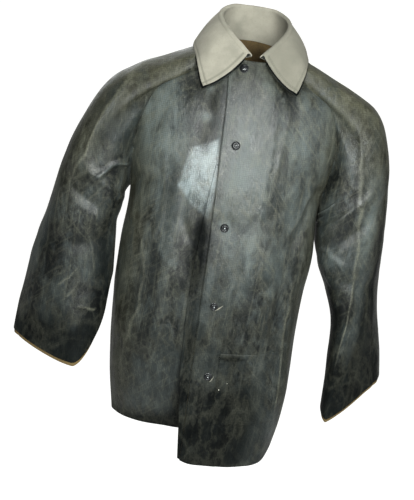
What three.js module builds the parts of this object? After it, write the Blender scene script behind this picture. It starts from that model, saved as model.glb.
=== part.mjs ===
// Rubber work jacket, worn: raglan sleeves, snap front, canvas-faced collar and cuffs.
// Millimetres, +Z up, wearer's front towards -Y, origin at the middle of the neck base.
import * as THREE from "three";
import { mergeVertices } from "three/addons/utils/BufferGeometryUtils.js";

// Driving sizes of the body
const LENGTH = 786; // neck base down to the hem
const CHEST = 400; // full width at the chest
const DEPTH = 240; // front to back at the chest
const NECK_WIDTH = 176;
const NECK_DEPTH = 150;
const NECK_SHIFT = 5; // the neck sits a little towards the wearer's left

// Driving sizes of the sleeves
const SLEEVE_RIGHT_DROP = 611; // neck base down to the middle of the cuff
const SLEEVE_LEFT_DROP = 690;
const SLEEVE_WIDTH = 170;
const SLEEVE_DEPTH = 160;
const SQUARE_RIGHT = 1.1; // how square the shoulder stands, 1 for a plain slope
const SQUARE_LEFT = 1.7;
const SHOULDER_TIP_RIGHT = 16; // how far the shoulder tip stands out of the plain curve
const SHOULDER_TIP_LEFT = 13;

// Driving sizes of the walls, edges and closures
const RUBBER = 1.8; // thickness of the rubber-coated cloth
const CANVAS = 1.6; // thickness of the collar and cuff canvas
const THIN_RUBBER = 1.2; // under-collar, fly and pocket
const CLEARANCE = 0.3; // between pieces that touch
const SEAT = 0.7; // between faceted pieces that lie on each other
const OVERLAP_EDGE = 37; // over-front edge, from the middle towards the wearer's right
const UNDERLAP_EDGE = 24; // hidden edge of the under-front, towards the wearer's left
const OVERLAP_LIFT = 2.6; // air between the two fronts, where the fly lies
const HEM_FLARE = 46; // how far the over-front kicks forward at the hem
const HEM_DROP = 52; // how much lower the over-front hangs
const FLY_SHOW = 24; // storm fly that shows past the over-front edge
const FLY_HIDDEN = 16; // storm fly under the over-front
const SNAP_DIAMETER = 16;
const SNAP_HEIGHT = 5;
const COLLAR_STAND = 62; // height of the collar stand at the back
const COLLAR_FALL = 58; // width of the collar leaf
const COLLAR_ROLL = 5; // radius of the fold over the stand
const UNDER_COLLAR_SHOW = 2; // rubber under-collar that shows past the canvas
const CUFF_SHOW = 5; // canvas facing that shows past the rubber
const CUFF_HIDDEN = 26; // canvas facing inside the sleeve
const POCKET_WIDTH = 132;
const POCKET_HEIGHT = 150;
const POCKET_ACROSS = 13; // front edge of the pocket, from the middle
const POCKET_RISE = 215; // pocket mouth above the plain hem
const POCKET_SEAT = 1.6; // air under the pocket patch
const SNAP_SEAT = 1; // air under a snap's flange

// Grid counts
const ROWS_BELOW = 13; // hem to armpit
const ROWS_ABOVE = 9; // armpit to neck
const FRONT_COLUMNS = 12;
const BACK_COLUMNS = 20;
const SLEEVE_ROWS = 19;
const NECK_STEPS = 2; // columns of the sleeve along the neck seam
const COLLAR_COLUMNS = 22;
const COLLAR_ROWS = 10;
const FLY_COLUMNS = 2;
const CUFF_ROWS = 4;
const POCKET_CELLS = 7;
const SNAP_SIDES = 12;

// Levels on the hem-to-neck scale of the body, where 0 is the hem and 1 the neck seam
const ARMPIT = 0.6;
const CALM_FROM = 0.8; // folds die out from here up
const NECK_FROM = 0.85; // the section turns into the neck's from here up
const FLARE_LEVEL = 0.27; // the over-front kicks forward below this level
const HANG_LEVEL = 0.13; // and hangs lower below this one
const FLY_TOP = 0.72;

// Angles in degrees from the middle front where the over-front's forms fade out
const LIFT_FADE = { from: 12, over: 20 };
const FLARE_FADE = { from: 42, over: 36 };
const HANG_RISE = { from: -22, over: 22 };
const HANG_FADE = { from: 30, over: 60 };
const HANG_MIDDLE = 0.65; // share of HEM_DROP that only the middle of the over-front takes

const NECK_SHARE = 0.62; // the last body row's two depths added up
const RADIAN = Math.PI / 180;
const { lerp } = THREE.MathUtils;

// A table with named columns, a row for each section or fold.
const table = (names, rows) =>
  rows.map((row) => Object.fromEntries(names.split(" ").map((name, i) => [name, row[i]])));

// Body sections from the hem to the neck. Levels run 0 to 1, side half widths are shares of
// CHEST, depths shares of DEPTH, drops shares of LENGTH, and box is 2 for an oval section and
// more for a squarer one.
const BODY = table("level right left front back box dropFront dropSide dropBack", [
  [0.0, 0.472, 0.43, 0.4, 0.47, 2.5, 0.975, 0.985, 1.01],
  [0.13, 0.5, 0.458, 0.5, 0.48, 2.5, 0.865, 0.865, 0.88],
  [0.27, 0.513, 0.45, 0.57, 0.48, 2.4, 0.71, 0.71, 0.72],
  [0.38, 0.516, 0.455, 0.575, 0.475, 2.3, 0.6, 0.6, 0.605],
  [0.48, 0.508, 0.47, 0.565, 0.47, 2.3, 0.5, 0.5, 0.5],
  [0.6, 0.482, 0.452, 0.54, 0.46, 2.3, 0.385, 0.375, 0.375],
  [0.69, 0.498, 0.48, 0.52, 0.44, 2.3, 0.3, 0.275, 0.28],
  [0.77, 0.495, 0.498, 0.485, 0.41, 2.3, 0.222, 0.185, 0.19],
  [0.85, 0.455, 0.46, 0.445, 0.37, 2.2, 0.15, 0.11, 0.105],
  [0.93, 0.35, 0.355, 0.4, 0.325, 2.1, 0.085, 0.055, 0.035],
  [1.0, 0.22, 0.22, 0.345, 0.275, 2.0, 0.034, 0.01, -0.012],
]);

// Seams in degrees from the middle front: side seam below the armpit, raglan seams above it.
const SIDE_SEAM = table("level angle", [
  [0.0, 78],
  [0.3, 80],
  [0.6, 90],
]);
const RAGLAN = table("level front back", [
  [0.6, 90, 90],
  [0.69, 78, 102],
  [0.77, 69, 111],
  [0.85, 62, 118],
  [0.93, 57, 123],
  [1.0, 50, 130],
]);

// Folds pressed into the body. Across, spread and rise are shares of CHEST, down and length
// shares of LENGTH, and turn is the fold's angle from upright in degrees.
const FRONT_FOLDS = table("across down length spread rise turn", [
  [-0.28, 0.62, 0.5, 0.055, 0.014, 4],
  [-0.4, 0.5, 0.4, 0.04, -0.012, -5],
  [0.2, 0.6, 0.55, 0.06, 0.012, -4],
  [0.3, 0.55, 0.4, 0.035, -0.012, 6],
  [0.4, 0.86, 0.42, 0.03, 0.02, -2],
  [-0.42, 0.33, 0.16, 0.03, -0.012, 55],
  [0.43, 0.33, 0.18, 0.03, -0.014, -50],
  [-0.12, 0.84, 0.3, 0.045, 0.01, 2],
]);
const BACK_FOLDS = table("across down length spread rise turn", [
  [0.0, 0.6, 0.7, 0.05, -0.014, 0],
  [-0.22, 0.66, 0.6, 0.055, 0.014, 5],
  [0.22, 0.66, 0.6, 0.055, 0.014, -5],
  [-0.36, 0.4, 0.25, 0.035, -0.012, 40],
  [0.36, 0.4, 0.25, 0.035, -0.012, -40],
]);

// How much of FLY_SHOW shows at each level.
const FLY = table("level show", [
  [0.0, 0.2],
  [0.2, 0.85],
  [0.4, 1.0],
  [0.6, 0.6],
  [0.75, 0.1],
]);

// Sleeve sections below the shoulder. Down is a share of the sleeve's drop, out a share of
// CHEST, forward and depth shares of SLEEVE_DEPTH, width and tilt shares of SLEEVE_WIDTH, lean
// moves the front crease towards the body, and round is 2 for an oval section and less for a
// pressed one.
const SLEEVE_RIGHT = table("step down out forward width depth lean tilt round", [
  [0.0, 0.47, 0.668, 0.03, 0.386, 0.44, 0.0, 0.134, 2.3],
  [0.28, 0.616, 0.713, 0.0, 0.434, 0.43, 0.1, 0.045, 2.1],
  [0.52, 0.761, 0.739, -0.02, 0.484, 0.43, 0.2, 0.1, 1.9],
  [0.76, 0.884, 0.761, 0.02, 0.518, 0.46, 0.34, 0.0, 1.7],
  [1.0, 1.0, 0.78, 0.05, 0.53, 0.5, 0.46, 0.0, 1.5],
]);
const SLEEVE_LEFT = table("step down out forward width depth lean tilt round", [
  [0.0, 0.41, 0.628, 0.03, 0.372, 0.44, 0.0, 0.28, 2.3],
  [0.24, 0.55, 0.67, 0.0, 0.39, 0.44, 0.2, 0.12, 2.1],
  [0.42, 0.652, 0.72, -0.02, 0.333, 0.46, 0.45, 0.04, 1.8],
  [0.6, 0.754, 0.766, 0.0, 0.286, 0.46, 0.7, 0.0, 1.7],
  [0.8, 0.87, 0.793, 0.03, 0.3, 0.46, 0.95, 0.0, 1.5],
  [1.0, 1.0, 0.82, 0.06, 0.32, 0.48, 1.2, 0.0, 1.35],
]);

// Cuff edge: how far it hangs below the middle of the cuff, as shares of SLEEVE_WIDTH.
const CUFF_RIGHT = { outer: 0.07, front: 0.22, inner: -0.5, back: -0.17 };
const CUFF_LEFT = { outer: -0.18, front: 0.2, inner: 0.06, back: -0.18 };

// Folds across the sleeves. Around and wide are degrees from the outer edge to the front, along
// and spread run 0 to 1 from the seam to the cuff, slope is along for each turn round, and rise
// is a share of SLEEVE_WIDTH.
const SLEEVE_FOLDS = table("around along slope spread wide rise", [
  [95, 0.42, 0.35, 0.03, 60, -0.04],
  [120, 0.34, 0.25, 0.024, 50, 0.035],
  [70, 0.6, -0.2, 0.03, 55, -0.03],
  [260, 0.55, 0.2, 0.035, 60, -0.035],
  [240, 0.38, -0.3, 0.03, 50, 0.03],
]);

// Snaps down the over-front: across as a share of CHEST, down as a share of LENGTH, seat as a
// share of SNAP_SEAT.
const SNAPS = table("across down seat", [
  [-0.03, 0.052, 1],
  [-0.028, 0.222, 0.8],
  [-0.03, 0.413, 0.75],
  [-0.028, 0.607, 0.8],
  [-0.01, 0.793, 1],
]);

// Snap profile from the flange to the top: radius as a share of SNAP_DIAMETER and height as a
// share of SNAP_HEIGHT.
const SNAP_PROFILE = table("radius height", [
  [0.5, 0.0],
  [0.5, 0.2],
  [0.42, 0.3],
  [0.38, 0.72],
  [0.26, 0.95],
]);

// Collar from the middle back to the front end. Angle is round the neck seam in degrees. The
// fold line and the leaf's edge are out and fore as shares of NECK_WIDTH, and up as a share of
// COLLAR_STAND for the fold and of COLLAR_FALL for the leaf.
const COLLAR = table("place angle foldOut foldFore foldUp leafOut leafFore leafUp", [
  [0.0, 180, 0.0, -0.37, 1.22, 0.0, -0.55, 0.36],
  [0.28, 145, 0.24, -0.28, 1.16, 0.4, -0.43, 0.22],
  [0.55, 100, 0.37, -0.01, 0.86, 0.61, -0.04, -0.06],
  [0.8, 55, 0.3, 0.29, 0.42, 0.56, 0.4, -0.52],
  [1.0, 16, 0.07, 0.51, -0.22, 0.46, 0.61, -1.25],
]);

// A value of a table's column at a place between rows, on a smooth curve through the rows.
function column(rows, key, place, name) {
  const last = rows.length - 1;
  const x = THREE.MathUtils.clamp(place, rows[0][key], rows[last][key]);
  let i = 0;
  while (i < last - 1 && x > rows[i + 1][key]) i += 1;
  const [a, b] = [rows[i], rows[i + 1]];
  const span = b[key] - a[key];
  const before = rows[Math.max(i - 1, 0)];
  const after = rows[Math.min(i + 2, last)];
  const slopeA = ((b[name] - before[name]) / (b[key] - before[key])) * span;
  const slopeB = ((after[name] - a[name]) / (after[key] - a[key])) * span;
  return hermite(a[name], b[name], slopeA, slopeB, (x - a[key]) / span);
}

function hermite(a, b, slopeA, slopeB, t) {
  const t2 = t * t;
  const t3 = t2 * t;
  const ends = (2 * t3 - 3 * t2 + 1) * a + (3 * t2 - 2 * t3) * b;
  return ends + (t3 - 2 * t2 + t) * slopeA + (t3 - t2) * slopeB;
}

const smooth = (t) => THREE.MathUtils.smoothstep(t, 0, 1);
const signedPower = (x, power) => Math.sign(x) * Math.abs(x) ** power;
const range = (count) => Array.from({ length: count + 1 }, (_, i) => i / count);

// Unit vector out of a surface: shape(across, up) gives its points, both from 0 to 1.
function outward(shape, u, v) {
  const step = 0.004;
  const along = shape(u + step, v).sub(shape(u - step, v));
  const up = shape(u, v + step).sub(shape(u, v - step));
  return along.cross(up).normalize();
}

// The surface moved out by a distance, which may change from place to place.
const offset = (shape, distance) => (u, v) => {
  const rise = typeof distance === "function" ? distance(u, v) : distance;
  return shape(u, v).addScaledVector(outward(shape, u, v), rise);
};

// Closed wall of a surface, its thickness going inwards. A wrapped wall closes on itself.
function wall(shape, cols, rows, thickness, wrap = false) {
  const across = range(cols).slice(0, wrap ? cols : cols + 1);
  const grid = (surface) => range(rows).map((v) => across.map((u) => surface(u, v)));
  const outer = grid(shape);
  const inner = grid(offset(shape, -thickness));
  const count = across.length;
  const position = [];
  const triangle = (...points) => points.forEach((p) => position.push(p.x, p.y, p.z));
  const quad = (a, b, c, d) => {
    triangle(a, b, c);
    triangle(a, c, d);
  };
  for (let j = 0; j < cols; j += 1) {
    const k = (j + 1) % count;
    for (let i = 0; i < rows; i += 1) {
      quad(outer[i][j], outer[i][k], outer[i + 1][k], outer[i + 1][j]);
      quad(inner[i][j], inner[i + 1][j], inner[i + 1][k], inner[i][k]);
    }
    quad(inner[0][j], inner[0][k], outer[0][k], outer[0][j]);
    quad(outer[rows][j], outer[rows][k], inner[rows][k], inner[rows][j]);
  }
  for (let i = 0; i < rows && !wrap; i += 1) {
    quad(inner[i][0], outer[i][0], outer[i + 1][0], inner[i + 1][0]);
    quad(outer[i][cols], inner[i][cols], inner[i + 1][cols], outer[i + 1][cols]);
  }
  const geometry = new THREE.BufferGeometry();
  geometry.setAttribute("position", new THREE.Float32BufferAttribute(position, 3));
  return mergeVertices(geometry, 1e-4);
}

// Materials and the group that holds the pieces
const finish = (color, roughness, metalness) => () =>
  new THREE.MeshStandardMaterial({ color, roughness, metalness });
const rubber = finish(0x3e4442, 0.55, 0);
const canvas = finish(0xb7b2a0, 0.95, 0);
const facing = finish(0x6f5d3c, 0.95, 0);
const snapMetal = finish(0x23262a, 0.45, 0.8);

const jacket = new THREE.Group();
function add(name, geometry, material) {
  const mesh = new THREE.Mesh(geometry, material);
  mesh.name = name;
  jacket.add(mesh);
  return mesh;
}

// Sum of the long soft folds near a place on the front or back.
function foldRise(folds, x, z) {
  let rise = 0;
  for (const fold of folds) {
    const turn = fold.turn * RADIAN;
    const dx = x - fold.across * CHEST;
    const dz = z + fold.down * LENGTH;
    const reach = (dz * Math.cos(turn) + dx * Math.sin(turn)) / ((fold.length * LENGTH) / 2);
    const side = (dx * Math.cos(turn) - dz * Math.sin(turn)) / (fold.spread * CHEST);
    rise += fold.rise * CHEST * Math.exp(-side * side - reach * reach);
  }
  return rise;
}

const neckBlend = (level) => smooth((level - NECK_FROM) / (1 - NECK_FROM));
function halfWidth(side, level) {
  const half = column(BODY, "level", level, side < 0 ? "right" : "left") * CHEST;
  return lerp(half, NECK_WIDTH / 2, neckBlend(level));
}

// Point of the body's outer surface: angle in degrees from the middle front, positive to the
// wearer's left, and level from the hem to the neck. Lift moves it out from the surface.
function bodyPoint(angle, level, lift = 0) {
  const at = (name) => column(BODY, "level", level, name);
  const s = Math.sin(angle * RADIAN);
  const c = Math.cos(angle * RADIAN);
  const power = 2 / at("box");
  const neck = neckBlend(level);
  const share = c > 0 ? at("front") : at("back");
  const deep = lerp(share * DEPTH, (share / NECK_SHARE) * NECK_DEPTH, neck);
  const width = halfWidth(s, level);
  const x = signedPower(s, power) * width + NECK_SHIFT * neck;
  const y = -signedPower(c, power) * deep;
  const z = -lerp(at("dropSide"), c > 0 ? at("dropFront") : at("dropBack"), c * c) * LENGTH;
  const calm = (1 - smooth((level - CALM_FROM) / (1 - NECK_FROM))) * Math.sqrt(Math.abs(c));
  const rise = foldRise(c > 0 ? FRONT_FOLDS : BACK_FOLDS, x, z) * calm;
  const out = new THREE.Vector3(signedPower(s, power) / width, -signedPower(c, power) / deep, 0);
  return new THREE.Vector3(x, y, z).addScaledVector(out.normalize(), rise + lift);
}

// Angle at which the body's front reaches a distance from the middle
function angleAt(x, level) {
  const away = x - NECK_SHIFT * neckBlend(level);
  const share = Math.min(Math.abs(away) / halfWidth(away, level), 1);
  const box = column(BODY, "level", level, "box");
  return (Math.sign(away) * Math.asin(share ** (box / 2))) / RADIAN;
}

// Level of a row of the body grid, which has its own spacing below and above the armpit.
const BELOW = ROWS_BELOW / (ROWS_BELOW + ROWS_ABOVE);
const levelAt = (v) =>
  v < BELOW ? (v / BELOW) * ARMPIT : lerp(ARMPIT, 1, (v - BELOW) / (1 - BELOW));
const seam = (side, level) =>
  level < ARMPIT ? column(SIDE_SEAM, "level", level, "angle") : column(RAGLAN, "level", level, side);
const SEAM_GAP = CLEARANCE / (CHEST / 2) / RADIAN;

// Over-front on the wearer's left: it lies on the under-front, kicks forward at the hem and
// hangs lower there.
function overFront(angle, level, extra = 0) {
  const beyond = (fade) => smooth((angle - fade.from) / fade.over);
  const lift = (RUBBER + OVERLAP_LIFT) * (1 - beyond(LIFT_FADE));
  const flare = smooth(1 - level / FLARE_LEVEL) * (1 - beyond(FLARE_FADE));
  const low = smooth(1 - level / HANG_LEVEL);
  const middle = low * beyond(HANG_RISE) * (1 - beyond(HANG_FADE));
  const point = bodyPoint(angle, level, lift + extra);
  point.y -= HEM_FLARE * flare;
  point.z -= HEM_DROP * lerp(low, middle, HANG_MIDDLE);
  return point;
}
const frontLeft = (u, v) => {
  const level = levelAt(v);
  return overFront(lerp(angleAt(-OVERLAP_EDGE, level), seam("front", level) - SEAM_GAP, u), level);
};
const frontRight = (u, v) => {
  const level = levelAt(v);
  return bodyPoint(lerp(SEAM_GAP - seam("front", level), angleAt(UNDERLAP_EDGE, level), u), level);
};
const back = (u, v) => {
  const level = levelAt(v);
  const from = seam("back", level) + SEAM_GAP;
  return bodyPoint(lerp(from, 360 - from, u), level);
};
const BODY_ROWS = ROWS_BELOW + ROWS_ABOVE;
add("front_left", wall(frontLeft, FRONT_COLUMNS, BODY_ROWS, RUBBER), rubber());
add("front_right", wall(frontRight, FRONT_COLUMNS, BODY_ROWS, RUBBER), rubber());
add("back", wall(back, BACK_COLUMNS, BODY_ROWS, RUBBER), rubber());

// Storm fly: a strip behind the over-front's edge
const stormFly = (u, v) => {
  const level = v * FLY_TOP;
  const show = column(FLY, "level", level, "show") * FLY_SHOW;
  const from = angleAt(-OVERLAP_EDGE - show, level);
  const to = angleAt(FLY_HIDDEN - OVERLAP_EDGE, level);
  return overFront(lerp(from, to, u), level, -RUBBER - SEAT);
};
add("storm_fly", wall(stormFly, FLY_COLUMNS, ROWS_BELOW + 2, THIN_RUBBER), rubber());

// Section of a sleeve at a step of its table, round from the outer edge over the front
function sleeveSection(sleeve, step, around) {
  const at = (name) => column(sleeve.rows, "step", step, name);
  const c = Math.cos(around);
  const s = Math.sin(around);
  const power = 2 / at("round");
  const half = at("width") * SLEEVE_WIDTH;
  const x = half * (signedPower(c, power) - at("lean") * signedPower(s, power));
  const y = -at("forward") - at("depth") * signedPower(s, power);
  const { outer, front, inner, back: rear } = sleeve.cuff;
  const hang = (c > 0 ? outer : inner) * c * c + (s > 0 ? front : rear) * s * s;
  const edge = at("tilt") * c - hang * smooth((step - CUFF_HANG_FROM) / (1 - CUFF_HANG_FROM));
  const z = edge * SLEEVE_WIDTH - at("down") * sleeve.drop;
  return new THREE.Vector3(sleeve.side * (at("out") * CHEST + x), y * SLEEVE_DEPTH, z);
}

// Place on the seam that a sleeve starts from, and the angle it takes round the sleeve: along
// the neck, down the front raglan seam, round the armpit and up the back raglan seam.
const RING = NECK_STEPS + 2 * ROWS_ABOVE;
const NECK_ANGLE = 0.28; // half of the sleeve's turn, in radians, that the neck seam takes
function seat(u) {
  const f = THREE.MathUtils.euclideanModulo(u, 1) * RING;
  if (f < NECK_STEPS) {
    const t = f / NECK_STEPS;
    return [lerp(seam("back", 1), seam("front", 1), t), 1, lerp(-NECK_ANGLE, NECK_ANGLE, t)];
  }
  const q = (f - NECK_STEPS) / ROWS_ABOVE;
  const level = q < 1 ? lerp(1, ARMPIT, q) : lerp(ARMPIT, 1, q - 1);
  return [seam(q < 1 ? "front" : "back", level), level, lerp(NECK_ANGLE, Math.PI, q)];
}

const SHOULDER_RUN = 0.36; // share of the sleeve's rows that lie above its section table
const SHOULDER_SLOPE = 20; // degrees down that the shoulder leaves the neck at
const SHOULDER_BULGE = 0.35; // how far the sleeve leaves the raglan seam to the front and back
const CUFF_HANG_FROM = 0.35; // the cuff's slant starts at this step of the sections
const FIRST_STEP = 0.08; // step over which the direction of the first section is taken
function sleeveBase(sleeve, u, along) {
  const [angle, level, around] = seat(u);
  if (along >= SHOULDER_RUN) {
    return sleeveSection(sleeve, (along - SHOULDER_RUN) / (1 - SHOULDER_RUN), around);
  }
  const start = bodyPoint(sleeve.side * angle, level);
  const end = sleeveSection(sleeve, 0, around);
  const chord = end.clone().sub(start);
  const run = chord.length();
  const top = Math.max(Math.cos(around), 0) ** 0.6;
  const fall = SHOULDER_SLOPE * RADIAN;
  const slope = new THREE.Vector3(sleeve.side * Math.cos(fall), 0, -Math.sin(fall));
  const leave = chord.normalize().lerp(slope, top).normalize();
  leave.y -= SHOULDER_BULGE * Math.sin(around);
  leave.multiplyScalar(lerp(1, sleeve.square, Math.max(Math.cos(around), 0)));
  const arrive = sleeveSection(sleeve, FIRST_STEP, around).sub(end).normalize();
  const blend = (axis) =>
    hermite(start[axis], end[axis], leave[axis] * run, arrive[axis] * run, along / SHOULDER_RUN);
  return new THREE.Vector3(blend("x"), blend("y"), blend("z"));
}

const TIP_PLACE = 0.165; // where the shoulder tip lies along the sleeve, and how wide it is
const TIP_SPREAD = 0.07;
function sleeveFold(sleeve, u, along) {
  const around = seat(u)[2];
  const degrees = around / RADIAN;
  const near = Math.exp(-(((along - TIP_PLACE) / TIP_SPREAD) ** 2));
  let rise = sleeve.tip * near * Math.max(Math.cos(around), 0) ** 2;
  for (const fold of SLEEVE_FOLDS) {
    const off = degrees - fold.around;
    const side = (along - fold.along - (fold.slope * off) / 360) / fold.spread;
    rise += fold.rise * SLEEVE_WIDTH * Math.exp(-side * side - (off / fold.wide) ** 2);
  }
  return rise;
}

// Sleeves, with the canvas facing that lines each cuff and shows past it
const sleeves = {
  right: {
    side: -1, rows: SLEEVE_RIGHT, drop: SLEEVE_RIGHT_DROP, cuff: CUFF_RIGHT, square: SQUARE_RIGHT,
    tip: SHOULDER_TIP_RIGHT,
  },
  left: {
    side: 1, rows: SLEEVE_LEFT, drop: SLEEVE_LEFT_DROP, cuff: CUFF_LEFT, square: SQUARE_LEFT,
    tip: SHOULDER_TIP_LEFT,
  },
};
const SEAM_START = 0.004; // the sleeve starts just clear of the body's edge
for (const [name, sleeve] of Object.entries(sleeves)) {
  const turn = (u) => (sleeve.side < 0 ? u : 1 - u);
  const plain = (u, v) => sleeveBase(sleeve, turn(u), 1 - v * (1 - SEAM_START));
  const shape = offset(plain, (u, v) => sleeveFold(sleeve, turn(u), 1 - v));
  add(`sleeve_${name}`, wall(shape, RING, SLEEVE_ROWS, RUBBER, true), rubber());

  const inside = offset(shape, -RUBBER - SEAT);
  const hidden = CUFF_HIDDEN / sleeve.drop;
  const band = (u, v) => {
    const up = (v - 0.5) * 2 * hidden;
    if (up >= 0) return inside(u, up);
    const edge = inside(u, 0);
    const down = edge.clone().sub(inside(u, hidden)).normalize();
    return edge.addScaledVector(down, -up * (CUFF_SHOW / hidden));
  };
  add(`cuff_facing_${name}`, wall(band, RING, CUFF_ROWS, THIN_RUBBER, true), facing());
}

// Collar: leaf, roll and stand as one bent canvas sheet, u from the wearer's left end round the
// back to the right end, v from the leaf's edge to the neck seam.
const LEAF_END = 0.5; // shares of v that the leaf and the roll take
const ROLL_END = 0.8;
const LEAF_CROWN = 0.05; // rise of the leaf's middle, a share of COLLAR_FALL
const EDGE_SHARE = 0.2; // last part of the leaf that a wider edge stretches
function collarShape(u, v, edge) {
  const side = u < 0.5 ? 1 : -1;
  const at = (name) => column(COLLAR, "place", Math.abs(1 - 2 * u), name);
  const spot = (out, fore, up) =>
    new THREE.Vector3(side * at(out) * NECK_WIDTH + NECK_SHIFT, -at(fore) * NECK_WIDTH, up);
  const fold = spot("foldOut", "foldFore", at("foldUp") * COLLAR_STAND);
  const leaf = spot("leafOut", "leafFore", at("leafUp") * COLLAR_FALL);
  const foot = bodyPoint(side * at("angle"), 1, RUBBER);
  foot.z += SEAT + 0.5 * CLEARANCE + CLEARANCE * at("place");
  const away = leaf.clone().sub(fold).setZ(0).normalize();
  const rollAt = (turn) => {
    const rise = COLLAR_ROLL * (Math.sin(turn) - 1);
    return fold.clone().addScaledVector(away, COLLAR_ROLL * Math.cos(turn)).add({ x: 0, y: 0, z: rise });
  };
  if (v > ROLL_END) return rollAt(Math.PI).lerp(foot, (v - ROLL_END) / (1 - ROLL_END));
  if (v > LEAF_END) return rollAt((Math.PI * (v - LEAF_END)) / (ROLL_END - LEAF_END));
  const start = rollAt(0);
  const down = leaf.clone().sub(start);
  const t = 1 - v / LEAF_END;
  leaf.addScaledVector(down.normalize(), edge * Math.max(1 - (1 - t) / EDGE_SHARE, 0));
  const crown = LEAF_CROWN * COLLAR_FALL * Math.sin(Math.PI * t);
  return start.lerp(leaf, t).add({ x: away.x * crown, y: away.y * crown, z: crown });
}
const collarTop = (u, v) => collarShape(u, v, 0);
const collarUnder = offset((u, v) => collarShape(u, v, UNDER_COLLAR_SHOW), -CANVAS - CLEARANCE);
add("collar_top", wall(collarTop, COLLAR_COLUMNS, COLLAR_ROWS, CANVAS), canvas());
add("collar_under", wall(collarUnder, COLLAR_COLUMNS, COLLAR_ROWS, THIN_RUBBER), rubber());

// Level at which the over-front reaches a height at a distance across
function levelOf(x, z) {
  let [low, high] = [0, 1];
  for (let i = 0; i < 30; i += 1) {
    const level = (low + high) / 2;
    if (overFront(angleAt(x, level), level).z < z) low = level;
    else high = level;
  }
  return low;
}

// Hip pocket: a patch on the over-front, open at its top edge
const pocket = (u, v) => {
  const x = POCKET_ACROSS + u * POCKET_WIDTH;
  const z = POCKET_RISE - LENGTH - (1 - v) * POCKET_HEIGHT;
  const level = levelOf(x, z);
  return overFront(angleAt(x, level), level, POCKET_SEAT + THIN_RUBBER);
};
add("hip_pocket", wall(pocket, POCKET_CELLS, POCKET_CELLS, THIN_RUBBER), rubber());

// Snaps: flanged domes standing on the over-front
const SNAP_SLOPE = 0.1; // level taken up and down a snap's middle to find how it leans
const snapProfile = [
  new THREE.Vector2(0, 0),
  ...SNAP_PROFILE.map((p) => new THREE.Vector2(p.radius * SNAP_DIAMETER, p.height * SNAP_HEIGHT)),
  new THREE.Vector2(0, SNAP_HEIGHT),
];
SNAPS.forEach((snap, i) => {
  const x = snap.across * CHEST;
  const level = levelOf(x, -snap.down * LENGTH);
  const near = (u, v) => overFront(angleAt(x, level) + u, level + v * SNAP_SLOPE);
  const out = outward(near, 0, 0);
  const mesh = add(`snap_${i + 1}`, new THREE.LatheGeometry(snapProfile, SNAP_SIDES), snapMetal());
  mesh.quaternion.setFromUnitVectors(new THREE.Vector3(0, 1, 0), out);
  mesh.position.copy(near(0, 0)).addScaledVector(out, SNAP_SEAT * snap.seat);
});

export default jacket;
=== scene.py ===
"""Rubber work jacket in its worn form, dressed over its solids."""

import itertools
import math

import bpy
import numpy as np
from mathutils import Matrix, Vector


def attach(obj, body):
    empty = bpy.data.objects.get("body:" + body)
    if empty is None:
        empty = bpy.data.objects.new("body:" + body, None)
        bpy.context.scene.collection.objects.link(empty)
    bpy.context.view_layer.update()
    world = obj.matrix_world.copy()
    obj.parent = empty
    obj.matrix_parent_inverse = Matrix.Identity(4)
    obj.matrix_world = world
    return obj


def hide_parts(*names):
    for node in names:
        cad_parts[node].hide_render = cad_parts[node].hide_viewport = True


bl_info = {
    "name": "Rubber work jacket",
    "version": (1, 0, 0),
    "blender": (4, 5, 0),
    "location": "View3D > Sidebar > Jacket",
    "description": "Adds a worn rubber-coated canvas jacket, piece by piece, and its studio",
    "category": "Add Mesh",
}

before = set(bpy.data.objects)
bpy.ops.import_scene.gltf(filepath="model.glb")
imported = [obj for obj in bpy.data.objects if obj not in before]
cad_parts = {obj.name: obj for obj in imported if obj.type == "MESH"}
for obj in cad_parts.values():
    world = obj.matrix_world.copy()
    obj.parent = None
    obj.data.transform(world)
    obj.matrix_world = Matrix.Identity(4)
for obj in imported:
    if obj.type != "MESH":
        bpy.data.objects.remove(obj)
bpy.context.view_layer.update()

# Driving sizes in metres, as the solids have them
LENGTH = 0.786
CHEST = 0.4
DEPTH = 0.24
NECK_WIDTH = 0.176
NECK_DEPTH = 0.15
NECK_SHIFT = 0.005
SLEEVE_WIDTH = 0.17
SLEEVE_DEPTH = 0.16
RUBBER = 0.0018
CANVAS = 0.0016
THIN_RUBBER = 0.0012
SEAT = 0.0007
CLEARANCE = 0.0003
OVERLAP_EDGE = 0.037
UNDERLAP_EDGE = 0.024
OVERLAP_LIFT = 0.0026
HEM_FLARE = 0.046
HEM_DROP = 0.052
FLY_SHOW = 0.024
FLY_HIDDEN = 0.016
COLLAR_STAND = 0.062
COLLAR_FALL = 0.058
COLLAR_ROLL = 0.005
CUFF_HIDDEN = 0.026
POCKET_WIDTH = 0.132
POCKET_HEIGHT = 0.15
POCKET_ACROSS = 0.013
POCKET_RISE = 0.215
SLEEVE_ROUND = 0.46  # way round a sleeve

# Levels on the hem-to-neck scale of the body, where 0 is the hem and 1 the neck seam
ARMPIT = 0.6
CALM_FROM = 0.8
NECK_FROM = 0.85
FLARE_LEVEL = 0.27
HANG_LEVEL = 0.13
FLY_TOP = 0.72

# Angles in degrees from the middle front, from and over, where the over-front's forms fade out
LIFT_FADE = (12, 20)
FLARE_FADE = (42, 36)
HANG_RISE = (-22, 22)
HANG_FADE = (30, 60)
HANG_MIDDLE = 0.65
NECK_SHARE = 0.62


def table(names, rows):
    """A table with named columns, a row for each section or fold."""
    return dict(zip(names.split(), np.array(rows, dtype=float).T))


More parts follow.
